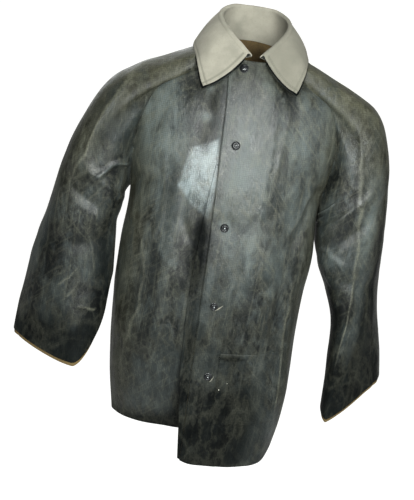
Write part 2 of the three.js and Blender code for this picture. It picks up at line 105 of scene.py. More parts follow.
# Body sections from the hem to the neck: side half widths are shares of CHEST, depths shares
# of DEPTH, drops shares of LENGTH, and box is 2 for an oval section and more for a squarer one.
BODY = table("level right left front back box dropFront dropSide dropBack", [
    [0.0, 0.472, 0.43, 0.4, 0.47, 2.5, 0.975, 0.985, 1.01],
    [0.13, 0.5, 0.458, 0.5, 0.48, 2.5, 0.865, 0.865, 0.88],
    [0.27, 0.513, 0.45, 0.57, 0.48, 2.4, 0.71, 0.71, 0.72],
    [0.38, 0.516, 0.455, 0.575, 0.475, 2.3, 0.6, 0.6, 0.605],
    [0.48, 0.508, 0.47, 0.565, 0.47, 2.3, 0.5, 0.5, 0.5],
    [0.6, 0.482, 0.452, 0.54, 0.46, 2.3, 0.385, 0.375, 0.375],
    [0.69, 0.498, 0.48, 0.52, 0.44, 2.3, 0.3, 0.275, 0.28],
    [0.77, 0.495, 0.498, 0.485, 0.41, 2.3, 0.222, 0.185, 0.19],
    [0.85, 0.455, 0.46, 0.445, 0.37, 2.2, 0.15, 0.11, 0.105],
    [0.93, 0.35, 0.355, 0.4, 0.325, 2.1, 0.085, 0.055, 0.035],
    [1.0, 0.22, 0.22, 0.345, 0.275, 2.0, 0.034, 0.01, -0.012],
])

# Seams in degrees from the middle front: side seam below the armpit, raglan seams above it.
SIDE_SEAM = table("level angle", [[0.0, 78], [0.3, 80], [0.6, 90]])
RAGLAN = table("level front back", [
    [0.6, 90, 90],
    [0.69, 78, 102],
    [0.77, 69, 111],
    [0.85, 62, 118],
    [0.93, 57, 123],
    [1.0, 50, 130],
])

# Folds pressed into the body. Across, spread and rise are shares of CHEST, down and length
# shares of LENGTH, and turn is the fold's angle from upright in degrees.
FRONT_FOLDS = [
    (-0.28, 0.62, 0.5, 0.055, 0.014, 4),
    (-0.4, 0.5, 0.4, 0.04, -0.012, -5),
    (0.2, 0.6, 0.55, 0.06, 0.012, -4),
    (0.3, 0.55, 0.4, 0.035, -0.012, 6),
    (0.4, 0.86, 0.42, 0.03, 0.02, -2),
    (-0.42, 0.33, 0.16, 0.03, -0.012, 55),
    (0.43, 0.33, 0.18, 0.03, -0.014, -50),
    (-0.12, 0.84, 0.3, 0.045, 0.01, 2),
]
BACK_FOLDS = [
    (0.0, 0.6, 0.7, 0.05, -0.014, 0),
    (-0.22, 0.66, 0.6, 0.055, 0.014, 5),
    (0.22, 0.66, 0.6, 0.055, 0.014, -5),
    (-0.36, 0.4, 0.25, 0.035, -0.012, 40),
    (0.36, 0.4, 0.25, 0.035, -0.012, -40),
]

# How much of FLY_SHOW shows at each level.
FLY = table("level show", [[0.0, 0.2], [0.2, 0.85], [0.4, 1.0], [0.6, 0.6], [0.75, 0.1]])

# Sleeve sections below the shoulder, as shares of the sleeve's own sizes.
SECTIONS = "step down out forward width depth lean tilt round"
SLEEVES = {
    "right": dict(
        side=-1, drop=0.611, square=1.1, tip=0.016,
        rows=table(SECTIONS, [
            [0.0, 0.47, 0.668, 0.03, 0.386, 0.44, 0.0, 0.134, 2.3],
            [0.28, 0.616, 0.713, 0.0, 0.434, 0.43, 0.1, 0.045, 2.1],
            [0.52, 0.761, 0.739, -0.02, 0.484, 0.43, 0.2, 0.1, 1.9],
            [0.76, 0.884, 0.761, 0.02, 0.518, 0.46, 0.34, 0.0, 1.7],
            [1.0, 1.0, 0.78, 0.05, 0.53, 0.5, 0.46, 0.0, 1.5],
        ]),
        cuff=dict(outer=0.07, front=0.22, inner=-0.5, back=-0.17),
    ),
    "left": dict(
        side=1, drop=0.69, square=1.7, tip=0.013,
        rows=table(SECTIONS, [
            [0.0, 0.41, 0.628, 0.03, 0.372, 0.44, 0.0, 0.28, 2.3],
            [0.24, 0.55, 0.67, 0.0, 0.39, 0.44, 0.2, 0.12, 2.1],
            [0.42, 0.652, 0.72, -0.02, 0.333, 0.46, 0.45, 0.04, 1.8],
            [0.6, 0.754, 0.766, 0.0, 0.286, 0.46, 0.7, 0.0, 1.7],
            [0.8, 0.87, 0.793, 0.03, 0.3, 0.46, 0.95, 0.0, 1.5],
            [1.0, 1.0, 0.82, 0.06, 0.32, 0.48, 1.2, 0.0, 1.35],
        ]),
        cuff=dict(outer=-0.18, front=0.2, inner=0.06, back=-0.18),
    ),
}

# Folds across the sleeves: around and wide in degrees from the outer edge to the front, along
# and spread from 0 at the seam to 1 at the cuff, slope along for each turn, rise in SLEEVE_WIDTH.
SLEEVE_FOLDS = [
    (95, 0.42, 0.35, 0.03, 60, -0.04),
    (120, 0.34, 0.25, 0.024, 50, 0.035),
    (70, 0.6, -0.2, 0.03, 55, -0.03),
    (260, 0.55, 0.2, 0.035, 60, -0.035),
    (240, 0.38, -0.3, 0.03, 50, 0.03),
]

# Snaps down the over-front: across as a share of CHEST, down as a share of LENGTH.
SNAPS = [(-0.03, 0.052), (-0.028, 0.222), (-0.03, 0.413), (-0.028, 0.607), (-0.01, 0.793)]

# Collar from the middle back to the front end: the angle is round the neck seam in degrees, the
# fold line and the leaf's edge are out and fore as shares of NECK_WIDTH, and up as a share of
# COLLAR_STAND for the fold and of COLLAR_FALL for the leaf.
COLLAR = table("place angle foldOut foldFore foldUp leafOut leafFore leafUp", [
    [0.0, 180, 0.0, -0.37, 1.22, 0.0, -0.55, 0.36],
    [0.28, 145, 0.24, -0.28, 1.16, 0.4, -0.43, 0.22],
    [0.55, 100, 0.37, -0.01, 0.86, 0.61, -0.04, -0.06],
    [0.8, 55, 0.3, 0.29, 0.42, 0.56, 0.4, -0.52],
    [1.0, 16, 0.07, 0.51, -0.22, 0.46, 0.61, -1.25],
])

# Sleeve grid places and shoulder form
NECK_STEPS = 2
ROWS_ABOVE = 9
RING = NECK_STEPS + 2 * ROWS_ABOVE
NECK_ANGLE = 0.28
SHOULDER_RUN = 0.36
SHOULDER_SLOPE = math.radians(20)
SHOULDER_BULGE = 0.35
CUFF_HANG_FROM = 0.35
FIRST_STEP = 0.08
TIP_PLACE = 0.165
TIP_SPREAD = 0.07
SEAM_START = 0.004

# Collar parts
LEAF_END = 0.5
ROLL_END = 0.8
LEAF_CROWN = 0.05
EDGE_SHARE = 0.2


def lerp(a, b, t):
    return a + (b - a) * t


def smooth(t):
    t = np.clip(t, 0, 1)
    return t * t * (3 - 2 * t)


def ramp(value, start, end, top=1.0):
    """0 up to the start, then smoothly to the top at the end. The end may be below the start."""
    return top * smooth((value - start) / (end - start))


def bell(away, width):
    """1 in the middle, falling softly to nothing about two widths away."""
    return np.exp(-((away / width) ** 2))


def signed_power(x, power):
    return np.sign(x) * np.abs(x) ** power


def points(x, y, z):
    return np.stack(np.broadcast_arrays(x, y, z), axis=-1)


def unit(vectors):
    return vectors / np.linalg.norm(vectors, axis=-1, keepdims=True)


def hermite(a, b, slope_a, slope_b, t):
    ends = (2 * t**3 - 3 * t**2 + 1) * a + (3 * t**2 - 2 * t**3) * b
    return ends + (t**3 - 2 * t**2 + t) * slope_a + (t**3 - t**2) * slope_b


def column(rows, key, place, name):
    """A column's value at places between rows, on a smooth curve through the rows."""
    keys, values = rows[key], rows[name]
    last = len(keys) - 1
    x = np.clip(place, keys[0], keys[-1])
    i = np.clip(np.searchsorted(keys, x) - 1, 0, last - 1)
    before, after = np.maximum(i - 1, 0), np.minimum(i + 2, last)
    span = keys[i + 1] - keys[i]
    slope_a = (values[i + 1] - values[before]) / (keys[i + 1] - keys[before]) * span
    slope_b = (values[after] - values[i]) / (keys[after] - keys[i]) * span
    return hermite(values[i], values[i + 1], slope_a, slope_b, (x - keys[i]) / span)


def outward(shape, u, v, step=0.004):
    """Unit vectors out of a surface, whose points are shape(across, up)."""
    along = shape(u + step, v) - shape(u - step, v)
    up = shape(u, np.minimum(v + step, 1)) - shape(u, np.maximum(v - step, 0))
    return unit(np.cross(along, up))


def fold_rise(folds, x, z):
    """Height of the long soft folds near a place on the front or back."""
    rise = 0
    for across, down, length, spread, height, degrees in folds:
        turn = math.radians(degrees)
        dx, dz = x - across * CHEST, z + down * LENGTH
        reach = (dz * math.cos(turn) + dx * math.sin(turn)) / (length * LENGTH / 2)
        side = (dx * math.cos(turn) - dz * math.sin(turn)) / (spread * CHEST)
        rise = rise + height * CHEST * np.exp(-(side**2) - reach**2)
    return rise


def neck_blend(level):
    return smooth((level - NECK_FROM) / (1 - NECK_FROM))


def body_at(place, name):
    """A column of the body's sections at a level."""
    return column(BODY, "level", place, name)


def half_width(side, level):
    half = np.where(side < 0, body_at(level, "right"), body_at(level, "left"))
    return lerp(half * CHEST, NECK_WIDTH / 2, neck_blend(level))


def body_point(angle, level, lift=0):
    """Points of the body's outer surface: the angle in degrees is from the middle front."""
    s, c = np.sin(np.radians(angle)), np.cos(np.radians(angle))
    power = 2 / body_at(level, "box")
    neck = neck_blend(level)
    ahead = c > 0
    share = np.where(ahead, body_at(level, "front"), body_at(level, "back"))
    deep = lerp(share * DEPTH, share / NECK_SHARE * NECK_DEPTH, neck)
    width = half_width(s, level)
    x = signed_power(s, power) * width + NECK_SHIFT * neck
    y = -signed_power(c, power) * deep
    low = np.where(ahead, body_at(level, "dropFront"), body_at(level, "dropBack"))
    z = -lerp(body_at(level, "dropSide"), low, c * c) * LENGTH
    calm = (1 - smooth((level - CALM_FROM) / (1 - NECK_FROM))) * np.sqrt(np.abs(c))
    rise = np.where(ahead, fold_rise(FRONT_FOLDS, x, z), fold_rise(BACK_FOLDS, x, z)) * calm
    out = unit(points(signed_power(s, power) / width, -signed_power(c, power) / deep, 0))
    return points(x, y, z) + out * np.asarray(rise + lift)[..., None]


def angle_at(x, level):
    """Angle at which the body's front reaches a distance from the middle."""
    away = x - NECK_SHIFT * neck_blend(level)
    share = np.minimum(np.abs(away) / half_width(away, level), 1)
    return np.degrees(np.sign(away) * np.arcsin(share ** (body_at(level, "box") / 2)))


def seam(side, level):
    below = column(SIDE_SEAM, "level", level, "angle")
    return np.where(level < ARMPIT, below, column(RAGLAN, "level", level, side))


def over_front(angle, level, extra=0):
    """Points of the over-front, which kicks forward at the hem and hangs lower there."""
    def beyond(fade):
        return smooth((angle - fade[0]) / fade[1])

    lift = (RUBBER + OVERLAP_LIFT) * (1 - beyond(LIFT_FADE))
    flare = smooth(1 - level / FLARE_LEVEL) * (1 - beyond(FLARE_FADE))
    low = smooth(1 - level / HANG_LEVEL)
    middle = low * beyond(HANG_RISE) * (1 - beyond(HANG_FADE))
    point = body_point(angle, level, lift + extra)
    point[..., 1] -= HEM_FLARE * flare
    point[..., 2] -= HEM_DROP * lerp(low, middle, HANG_MIDDLE)
    return point


SEAM_GAP = math.degrees(CLEARANCE / (CHEST / 2))
ROWS_BELOW = 13
BELOW = ROWS_BELOW / (ROWS_BELOW + ROWS_ABOVE)


def level_at(v):
    return np.where(v < BELOW, v / BELOW * ARMPIT, lerp(ARMPIT, 1, (v - BELOW) / (1 - BELOW)))


def section(sleeve, step, around):
    """Section of a sleeve at a step of its table, round from the outer edge over the front."""
    def at(name):
        return column(sleeve["rows"], "step", step, name)

    c, s = np.cos(around), np.sin(around)
    power = 2 / at("round")
    half = at("width") * SLEEVE_WIDTH
    x = half * (signed_power(c, power) - at("lean") * signed_power(s, power))
    y = -at("forward") - at("depth") * signed_power(s, power)
    cuff = sleeve["cuff"]
    hang = np.where(c > 0, cuff["outer"], cuff["inner"]) * c * c
    hang = hang + np.where(s > 0, cuff["front"], cuff["back"]) * s * s
    edge = at("tilt") * c - hang * smooth((step - CUFF_HANG_FROM) / (1 - CUFF_HANG_FROM))
    z = edge * SLEEVE_WIDTH - at("down") * sleeve["drop"]
    return points(sleeve["side"] * (at("out") * CHEST + x), y * SLEEVE_DEPTH, z)


def sleeve_turn(u):
    """Body angle and level of the seam a sleeve starts from, and its turn round the sleeve."""
    f = np.mod(u, 1) * RING
    t = f / NECK_STEPS
    q = (f - NECK_STEPS) / ROWS_ABOVE
    along_neck = f < NECK_STEPS
    level = np.where(q < 1, lerp(1, ARMPIT, q), lerp(ARMPIT, 1, q - 1))
    down = np.where(q < 1, column(RAGLAN, "level", level, "front"), column(RAGLAN, "level", level, "back"))
    angle = np.where(along_neck, lerp(RAGLAN["back"][-1], RAGLAN["front"][-1], t), down)
    around = np.where(along_neck, lerp(-NECK_ANGLE, NECK_ANGLE, t), lerp(NECK_ANGLE, math.pi, q))
    return angle, np.where(along_neck, 1, level), around


def sleeve_base(sleeve, u, along):
    angle, level, around = sleeve_turn(u)
    below = section(sleeve, (along - SHOULDER_RUN) / (1 - SHOULDER_RUN), around)
    start = body_point(sleeve["side"] * angle, level)
    end = section(sleeve, 0, around)
    chord = end - start
    run = np.linalg.norm(chord, axis=-1, keepdims=True)
    c = np.maximum(np.cos(around), 0)[..., None]
    slope = np.array([sleeve["side"] * math.cos(SHOULDER_SLOPE), 0, -math.sin(SHOULDER_SLOPE)])
    leave = unit(lerp(chord / run, slope, c**0.6))
    leave[..., 1] -= SHOULDER_BULGE * np.sin(around)
    leave = leave * lerp(1, sleeve["square"], c)
    arrive = unit(section(sleeve, FIRST_STEP, around) - end)
    t = np.clip(along / SHOULDER_RUN, -0.1, 1)[..., None]
    above = hermite(start, end, leave * run, arrive * run, t)
    return np.where((along < SHOULDER_RUN)[..., None], above, below)


def sleeve_fold(sleeve, u, along):
    around = sleeve_turn(u)[2]
    near = bell(along - TIP_PLACE, TIP_SPREAD)
    rise = sleeve["tip"] * near * np.maximum(np.cos(around), 0) ** 2
    for place, start, slope, spread, wide, height in SLEEVE_FOLDS:
        off = np.degrees(around) - place
        side = (along - start - slope * off / 360) / spread
        rise = rise + height * SLEEVE_WIDTH * np.exp(-(side**2) - (off / wide) ** 2)
    return rise


def collar_form(u, v, edge):
    """Leaf, roll and stand: u from the wearer's left end to the right, v from leaf to neck."""
    side = np.where(u < 0.5, 1, -1)
    place = np.abs(1 - 2 * u)

    def at(name):
        return column(COLLAR, "place", place, name)

    def spot(out, fore, up):
        return points(side * at(out) * NECK_WIDTH + NECK_SHIFT, -at(fore) * NECK_WIDTH, up)

    fold = spot("foldOut", "foldFore", at("foldUp") * COLLAR_STAND)
    leaf = spot("leafOut", "leafFore", at("leafUp") * COLLAR_FALL)
    foot = body_point(side * at("angle"), np.ones_like(u), RUBBER)
    foot[..., 2] += SEAT + 0.5 * CLEARANCE + CLEARANCE * place
    away = leaf - fold
    away[..., 2] = 0
    away = unit(away)

    def roll_at(turn):
        rise = points(0 * u, 0 * u, COLLAR_ROLL * (np.sin(turn) - 1))
        return fold + away * (COLLAR_ROLL * np.cos(turn))[..., None] + rise

    full = np.full_like(u, math.pi)
    stand = lerp(roll_at(full), foot, ((v - ROLL_END) / (1 - ROLL_END))[..., None])
    roll = roll_at(math.pi * (v - LEAF_END) / (ROLL_END - LEAF_END))
    start = roll_at(0 * u)
    t = (1 - v / LEAF_END)[..., None]
    reach = leaf + unit(leaf - start) * edge * np.maximum(1 - (1 - t) / EDGE_SHARE, 0)
    crown = LEAF_CROWN * COLLAR_FALL * np.sin(math.pi * t)
    flat = lerp(start, reach, t) + (away + np.array([0, 0, 1])) * crown
    v = v[..., None]
    return np.where(v > ROLL_END, stand, np.where(v > LEAF_END, roll, flat))


def level_of(x, z):
    """Level at which the over-front reaches a height at a distance across."""
    low, high = np.zeros_like(x), np.ones_like(x)
    for _ in range(30):
        level = (low + high) / 2
        below = over_front(angle_at(x, level), level)[..., 2] < z
        low, high = np.where(below, level, low), np.where(below, high, level)
    return low


# Colours and sizes that a user would change


def linear(code):
    """Linear red, green and blue of an sRGB hex colour."""
    shares = [int(code[i : i + 2], 16) / 255 for i in (1, 3, 5)]
    return tuple(c / 12.92 if c <= 0.04045 else ((c + 0.055) / 1.055) ** 2.4 for c in shares)


def colour(label, description, code):
    return bpy.props.FloatVectorProperty(
        name=label, description=description, default=linear(code), subtype="COLOR", min=0, max=1
    )


def length(label, description, default):
    return bpy.props.FloatProperty(
        name=label, description=description, default=default, min=0, unit="LENGTH"
    )


class JacketColours(bpy.types.PropertyGroup):
    rubber: colour("Rubber", "Rubber coat where it is least worn", "#1F2423")
    # Soot, and the painted shade toward the hem and cuffs, beside the over-front's edge, under the pocket's
    # lip and on the storm fly
    soot: colour("Soot", "Rubber coat near the hem, cuffs and folds", "#0B0D0D")
    # Grey bloom, and the painted light: a pale wash on the chest, a sheen inside the facing and highlights
    # along fold ridges
    bloom: colour("Bloom", "Grey bloom where the coat is rubbed", "#656E6C")
    crease: colour("Creases", "Tan canvas that shows through pressed creases", "#7A7A6B")
    olive: colour("Olive", "Yellowed coat on the shoulders and sides", "#524F3A")
    backing: colour("Canvas backing", "Bare cotton on the inside", "#6B5736")
    collar: colour("Collar", "Pale collar canvas", "#A39E90")
    soil: colour("Collar soil", "Grey soil rubbed into the collar", "#8C897C")
    # Painted highlight laid on the glossy facet beside the placket
    painted_highlight: colour("Rubbed rubber", "Palest, polished rubber", "#9CA8AA")
    daylight: colour("Daylight", "Tint of the studio lamps", "#FAFFFD")
    seam: colour("Collar stitching", "Grey line along the collar's stitching", "#6C6A5E")
    cuff: colour("Cuff facing", "Brown canvas at the cuffs", "#6F5D36")
    snap: colour("Snap lacquer", "Dark lacquer on the snaps", "#1B1D1F")
    metal: colour("Snap metal", "Metal where the lacquer is worn", "#8C8F90")
    fleck: colour("Paint flecks", "Old paint spots near the hem", "#C9C6B8")
    paper: colour("Studio paper", "Floor and backdrop", "#F5F5F3")
    sheet: colour("Studio sheet", "The same paper in the light that falls on it", "#AAAAAA")


class JacketSizes(bpy.types.PropertyGroup):
    cell: length("Cloth cell", "Spacing of the cloth's fine mesh", 0.0024)
    crumple: length("Crumple", "Height of the largest crumples", 0.0045)
    lap: length("Seam lap", "Width of the lapped seams", 0.01)
    stitch: length("Stitch", "Length of one collar stitch", 0.0034)
    inset: length("Stitch inset", "Collar stitching, in from the edge", 0.0075)
    thread: length("Thread", "Thickness of the sewing thread", 0.0007)
    snap_diameter: length("Snap diameter", "Flange of each snap", 0.016)
    snap_height: length("Snap height", "Flange to top of each snap", 0.005)
    floor_drop: length("Floor", "Floor below the neck base", 1.45)


def sizes():
    return bpy.context.scene.jacket_sizes


# Meshes


def add_object(name, spots, faces, materials, slots=None, layers=None):
    """An object from points and faces, with a float layer for each painted value."""
    mesh = bpy.data.meshes.new(name)
    mesh.from_pydata(np.asarray(spots).tolist(), [], faces)
    for material in materials:
        mesh.materials.append(material)
    if slots is not None:
        mesh.polygons.foreach_set("material_index", slots)
    for layer, values in (layers or {}).items():
        data = mesh.attributes.new(layer, "FLOAT", "POINT").data
        data.foreach_set("value", np.asarray(values, dtype=np.float32))
    mesh.polygons.foreach_set("use_smooth", [True] * len(mesh.polygons))
    mesh.update()
    made = bpy.data.objects.new(name, mesh)
    bpy.context.scene.collection.objects.link(made)
    return made


def dress(piece, slot, *nodes):
    """Makes a piece ride on the jacket and stand for its solids, which it hides."""
    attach(piece, "root")
    if nodes:
        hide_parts(*nodes)


COARSE = 3  # fine cells outside to one plain cell inside


def cloth(name, shape, size, thickness, relief, materials, wrap=False, cell=None):
    """A sheet of cloth: a fine outside, a rounded edge and a plain inside.

    The shape gives points for across and up, size is the sheet's width and height in metres,
    and relief gives the height over the shape and the painted layers.
    """
    cell = cell or sizes().cell
    cols, rows = (COARSE * max(1, round(side / cell / COARSE)) for side in size)
    u, v = np.meshgrid(np.linspace(0, 1, cols + 1), np.linspace(0, 1, rows + 1))
    out = outward(shape, u, v)
    rise, layers = relief(u, v)
    outer = shape(u, v) + out * rise[..., None]
    inner = outer - out * thickness
    index = np.arange(u.size).reshape(u.shape)
    spots, faces, slots = [outer.reshape(-1, 3)], [], []

    def strip(a, b, slot):
        faces.extend(np.stack([a[:-1], a[1:], b[1:], b[:-1]], axis=-1).tolist())
        slots.extend([slot] * (len(a) - 1))

    for i in range(rows):
        strip(index[i], index[i + 1], 0)
    edges = [index[0], index[-1][::-1]]
    if not wrap:
        edges += [index[:, 0][::-1], index[:, -1]]
    count = u.size
    for edge in edges:
        top, low = outer.reshape(-1, 3)[edge], inner.reshape(-1, 3)[edge]
        middle, bottom = count + np.arange(len(edge)), count + len(edge) + np.arange(len(edge))
        spots += [lerp(top, low, 0.5), low]
        strip(middle, edge, 0)
        strip(bottom, middle, 1)
        count += 2 * len(edge)
    plain = inner[::COARSE, ::COARSE]
    inside = count + np.arange(plain.size // 3).reshape(plain.shape[:2])
    spots.append(plain.reshape(-1, 3))
    for i in range(len(inside) - 1):
        strip(inside[i + 1], inside[i], 1)
    spots = np.concatenate(spots)
    painted = {layer: np.zeros(len(spots)) for layer in layers}
    for layer, values in layers.items():
        painted[layer][: u.size] = values.ravel()
    return add_object(name, spots, faces, materials, slots, painted)


def circle(sides, across, up):
    """Points round a circle, from one direction toward the other."""
    turn = np.linspace(0, 2 * math.pi, sides, endpoint=False)
    return np.outer(np.cos(turn), across) + np.outer(np.sin(turn), up)


def ring_faces(first, rings, sides):
    """Faces between rings of points that follow one another from the first point on."""
    faces = []
    for low in range(first, first + (rings - 1) * sides, sides):
        for j in range(sides):
            k = (j + 1) % sides
            faces.append([low + j, low + k, low + sides + k, low + sides + j])
    return faces


# Folds, crumples and wear


def soft_noise(spots, cell, seed):
    """Smooth random heights from -1 to 1, with hills about a cell apart."""
    heights = np.random.default_rng(seed).uniform(-1, 1, (16, 16, 16))
    place = spots / cell
    base = np.floor(place).astype(int)
    part = smooth(place - base)
    total = 0
    for corner in itertools.product((0, 1), repeat=3):
        i, j, k = np.moveaxis((base + corner) % 16, -1, 0)
        weight = np.prod(np.where(corner, part, 1 - part), axis=-1)
        total = total + weight * heights[i, j, k]
    return total


# Crumples of the stiff cloth, from large to small: cell in metres, share of the crumple height,
# softness of the folded line and how strongly that line is worn.
CRUMPLES = [
    (0.17, 1.0, 0.12, 0.6),
    (0.08, 0.42, 0.12, 0.55),
    (0.036, 0.16, 0.14, 0.4),
]
UPRIGHT = np.array([1, 1, 0.45])  # crumples are about twice as long down the body as across


def crumple(spots):
    """Height of random folds with sharp edges, and how worn each place is along those edges."""
    rise = worn = 0
    for seed, (cell, share, soft, wear) in enumerate(CRUMPLES):
        folds = soft_noise(spots * UPRIGHT, cell, seed) + 0.35 * soft_noise(spots, cell / 2, seed + 9)
        rise = rise + share * (0.45 - np.sqrt(folds**2 + soft**2))
        worn = np.maximum(worn, wear * bell(folds, 0.5 * soft))
    return rise * sizes().crumple, worn


def along_line(x, y, line):
    """Distance to a line of points, and the share of the way along it."""
    best, share = np.full(np.shape(x), np.inf), np.zeros(np.shape(x))
    for i, ((ax, ay), (bx, by)) in enumerate(itertools.pairwise(line)):
        dx, dy = bx - ax, by - ay
        t = np.clip(((x - ax) * dx + (y - ay) * dy) / (dx * dx + dy * dy), 0, 1)
        away = np.hypot(x - ax - t * dx, y - ay - t * dy)
        share = np.where(away < best, (i + t) / (len(line) - 1), share)
        best = np.minimum(away, best)
    return best, share


def crease(width, rise, tan, pale, *line):
    return dict(width=width, rise=rise, tan=tan, pale=pale, line=line)


# Pressed creases of the fronts: width and rise in metres, how tan and how pale the line is, the pale being
# a painted highlight along its ridge, and points across as a share of CHEST and down as a share of LENGTH.
FRONT_CREASES = [
    crease(0.007, 0.0018, 0.6, 0.0, (-0.425, 0.285), (-0.418, 0.436), (-0.371, 0.567), (-0.378, 0.643),
           (-0.411, 0.702), (-0.43, 0.832)),
    crease(0.006, 0.0015, 0.4, 0.0, (-0.34, 0.25), (-0.32, 0.38), (-0.35, 0.5)),
    crease(0.005, 0.0012, 0.0, 0.5, (0.127, 0.089), (0.14, 0.216), (0.122, 0.314), (0.12, 0.392),
           (0.108, 0.514), (0.098, 0.583)),
    crease(0.006, 0.001, 0.35, 0.0, (0.195, 0.108), (0.187, 0.197), (0.16, 0.3)),
    crease(0.006, 0.0022, 0.8, 0.0, (0.36, 0.95), (0.355, 0.85), (0.351, 0.764), (0.343, 0.681),
           (0.347, 0.588), (0.371, 0.51)),
    crease(0.012, -0.006, 0.1, 0.0, (0.44, 0.3), (0.4, 0.345), (0.35, 0.4), (0.31, 0.47)),
    crease(0.007, 0.002, 0.35, 0.0, (0.4, 0.3), (0.34, 0.36), (0.27, 0.43)),
    crease(0.008, -0.002, 0.2, 0.0, (-0.24, 0.3), (-0.23, 0.4), (-0.17, 0.47)),
    crease(0.006, 0.001, 0.3, 0.0, (0.2, 0.45), (0.26, 0.6), (0.25, 0.8)),
    crease(0.006, 0.001, 0.3, 0.0, (-0.3, 0.6), (-0.26, 0.72), (-0.32, 0.86)),
]

# Pressed creases of the sleeves, their pale lines painted highlights along the fold ridges. Points are
# degrees round from the outer edge and the share along from the seam.
SLEEVE_CREASES = {
    "right": [
        crease(0.008, 0.003, 1.0, 0.0, (2, 0.013), (3, 0.1), (15, 0.14), (38, 0.18), (59, 0.229),
               (69, 0.278), (62, 0.34), (50, 0.42)),
        crease(0.005, 0.0035, 0.0, 0.9, (90, 0.33), (95, 0.314), (102, 0.288), (109, 0.238),
               (121, 0.183), (139, 0.123), (160, 0.03)),
        crease(0.005, 0.001, 0.3, 0.1, (93, 0.32), (108, 0.408), (112, 0.5)),
        crease(0.004, 0.0008, 0.9, 0.0, (90, 0.786), (106, 0.798), (124, 0.845)),
        crease(0.004, 0.0006, 0.8, 0.0, (58, 0.747), (79, 0.711), (94, 0.651)),
        crease(0.004, 0.0006, 0.6, 0.0, (64, 0.8), (80, 0.75), (100, 0.7)),
        crease(0.005, 0.0012, 0.5, 0.0, (100, 0.55), (112, 0.6), (118, 0.7)),
    ],
    "left": [
        crease(0.007, 0.003, 1.0, 0.0, (43, 0.119), (74, 0.145), (88, 0.2), (91, 0.297), (86, 0.4),
               (83, 0.509), (83, 0.642), (104, 0.795), (105, 0.897)),
        crease(0.005, 0.004, 0.0, 1.0, (172, 0.19), (150, 0.22), (130, 0.245)),
        crease(0.006, 0.003, 0.0, 0.7, (175, 0.3), (156, 0.247)),
        crease(0.008, 0.003, 0.0, 0.6, (160, 0.42), (123, 0.497), (98, 0.55)),
        crease(0.007, 0.002, 0.0, 0.5, (150, 0.56), (131, 0.599), (98, 0.56)),
        crease(0.004, 0.0012, 0.4, 0.0, (102, 0.195), (96, 0.25), (105, 0.262)),
    ],
}
SLEEVE_SEAM = [(40, 0.3), (36, 0.5), (33, 0.672), (27, 0.8), (24, 0.857), (14, 1.0)]


def creased(creases, spots, x, y, scale):
    """Height of the creases near places, and how tan and how pale they are there; the pale is a painted
    highlight.
    """
    rise = tan = pale = 0
    wander = 0.004 * soft_noise(spots, 0.03, 21)
    x, y = x * scale[0] + wander, y * scale[1] + wander
    for one in creases:
        away, share = along_line(x, y, [(px * scale[0], py * scale[1]) for px, py in one["line"]])
        fade = smooth(share * 5) * smooth((1 - share) * 5)
        near = fade * bell(away, one["width"])
        rise = rise + one["rise"] * near
        thin = fade * bell(away, 0.4 * one["width"])
        tan = np.maximum(tan, one["tan"] * thin)
        pale = np.maximum(pale, one["pale"] * thin)
    return rise, tan, pale


# Painted light and shade on the coat: pale patches, above 0, are painted light and highlights, and black
# ones, below 0, painted shade. Across as a share of CHEST and down as a share of LENGTH, how wide and tall
# in the same shares, and how much.
LIGHT_AND_SHADE_PATCHES = table("across down wide tall shade", [
    [0.03, 0.15, 0.1, 0.06, 0.15],
    [0.02, 0.3, 0.1, 0.08, 0.75],
    [0.05, 0.42, 0.08, 0.08, 0.45],
    [0.1, 0.53, 0.035, 0.09, 0.75],
    [0.01, 0.08, 0.06, 0.04, -0.3],
    [-0.21, 0.31, 0.045, 0.055, 0.5],
    [-0.37, 0.19, 0.1, 0.08, 1.5],
    [-0.34, 0.29, 0.05, 0.06, 0.4],
    [-0.27, 0.47, 0.05, 0.05, 0.45],
    [-0.3, 0.86, 0.08, 0.06, 0.35],
    [-0.36, 0.6, 0.07, 0.12, 0.3],
    [0.3, 0.22, 0.12, 0.08, 0.5],
    [0.28, 0.36, 0.1, 0.1, 0.3],
    [0.28, 0.5, 0.05, 0.08, 0.35],
    # painted shade beside the over-front's edge
    [-0.145, 0.14, 0.035, 0.075, -0.9],
    [-0.175, 0.22, 0.03, 0.03, -0.5],
    [-0.14, 0.49, 0.05, 0.09, -1.0],
    [-0.13, 0.42, 0.03, 0.05, -0.6],
    [-0.12, 0.72, 0.05, 0.17, -0.85],
    [-0.3, 0.35, 0.04, 0.05, -0.55],
    [-0.24, 0.4, 0.05, 0.03, -0.4],
    [0.12, 0.72, 0.09, 0.08, -0.5],
    [0.0, 0.98, 0.45, 0.15, -0.95],
    [-0.3, 1.0, 0.25, 0.05, -0.8],
    [0.2, 0.85, 0.12, 0.1, -0.5],
    [0.05, 0.86, 0.12, 0.08, -0.45],
    # painted shadow under the pocket's lip
    [0.09, 0.74, 0.05, 0.005, -0.8],
    # two small painted highlights under the collar
    [-0.165, 0.103, 0.02, 0.011, 1.4],
    [-0.176, 0.166, 0.03, 0.011, 1.2],
    [0.42, 0.6, 0.06, 0.2, -0.3],
    [0.0, 0.7, 0.08, 0.12, -0.45],
])

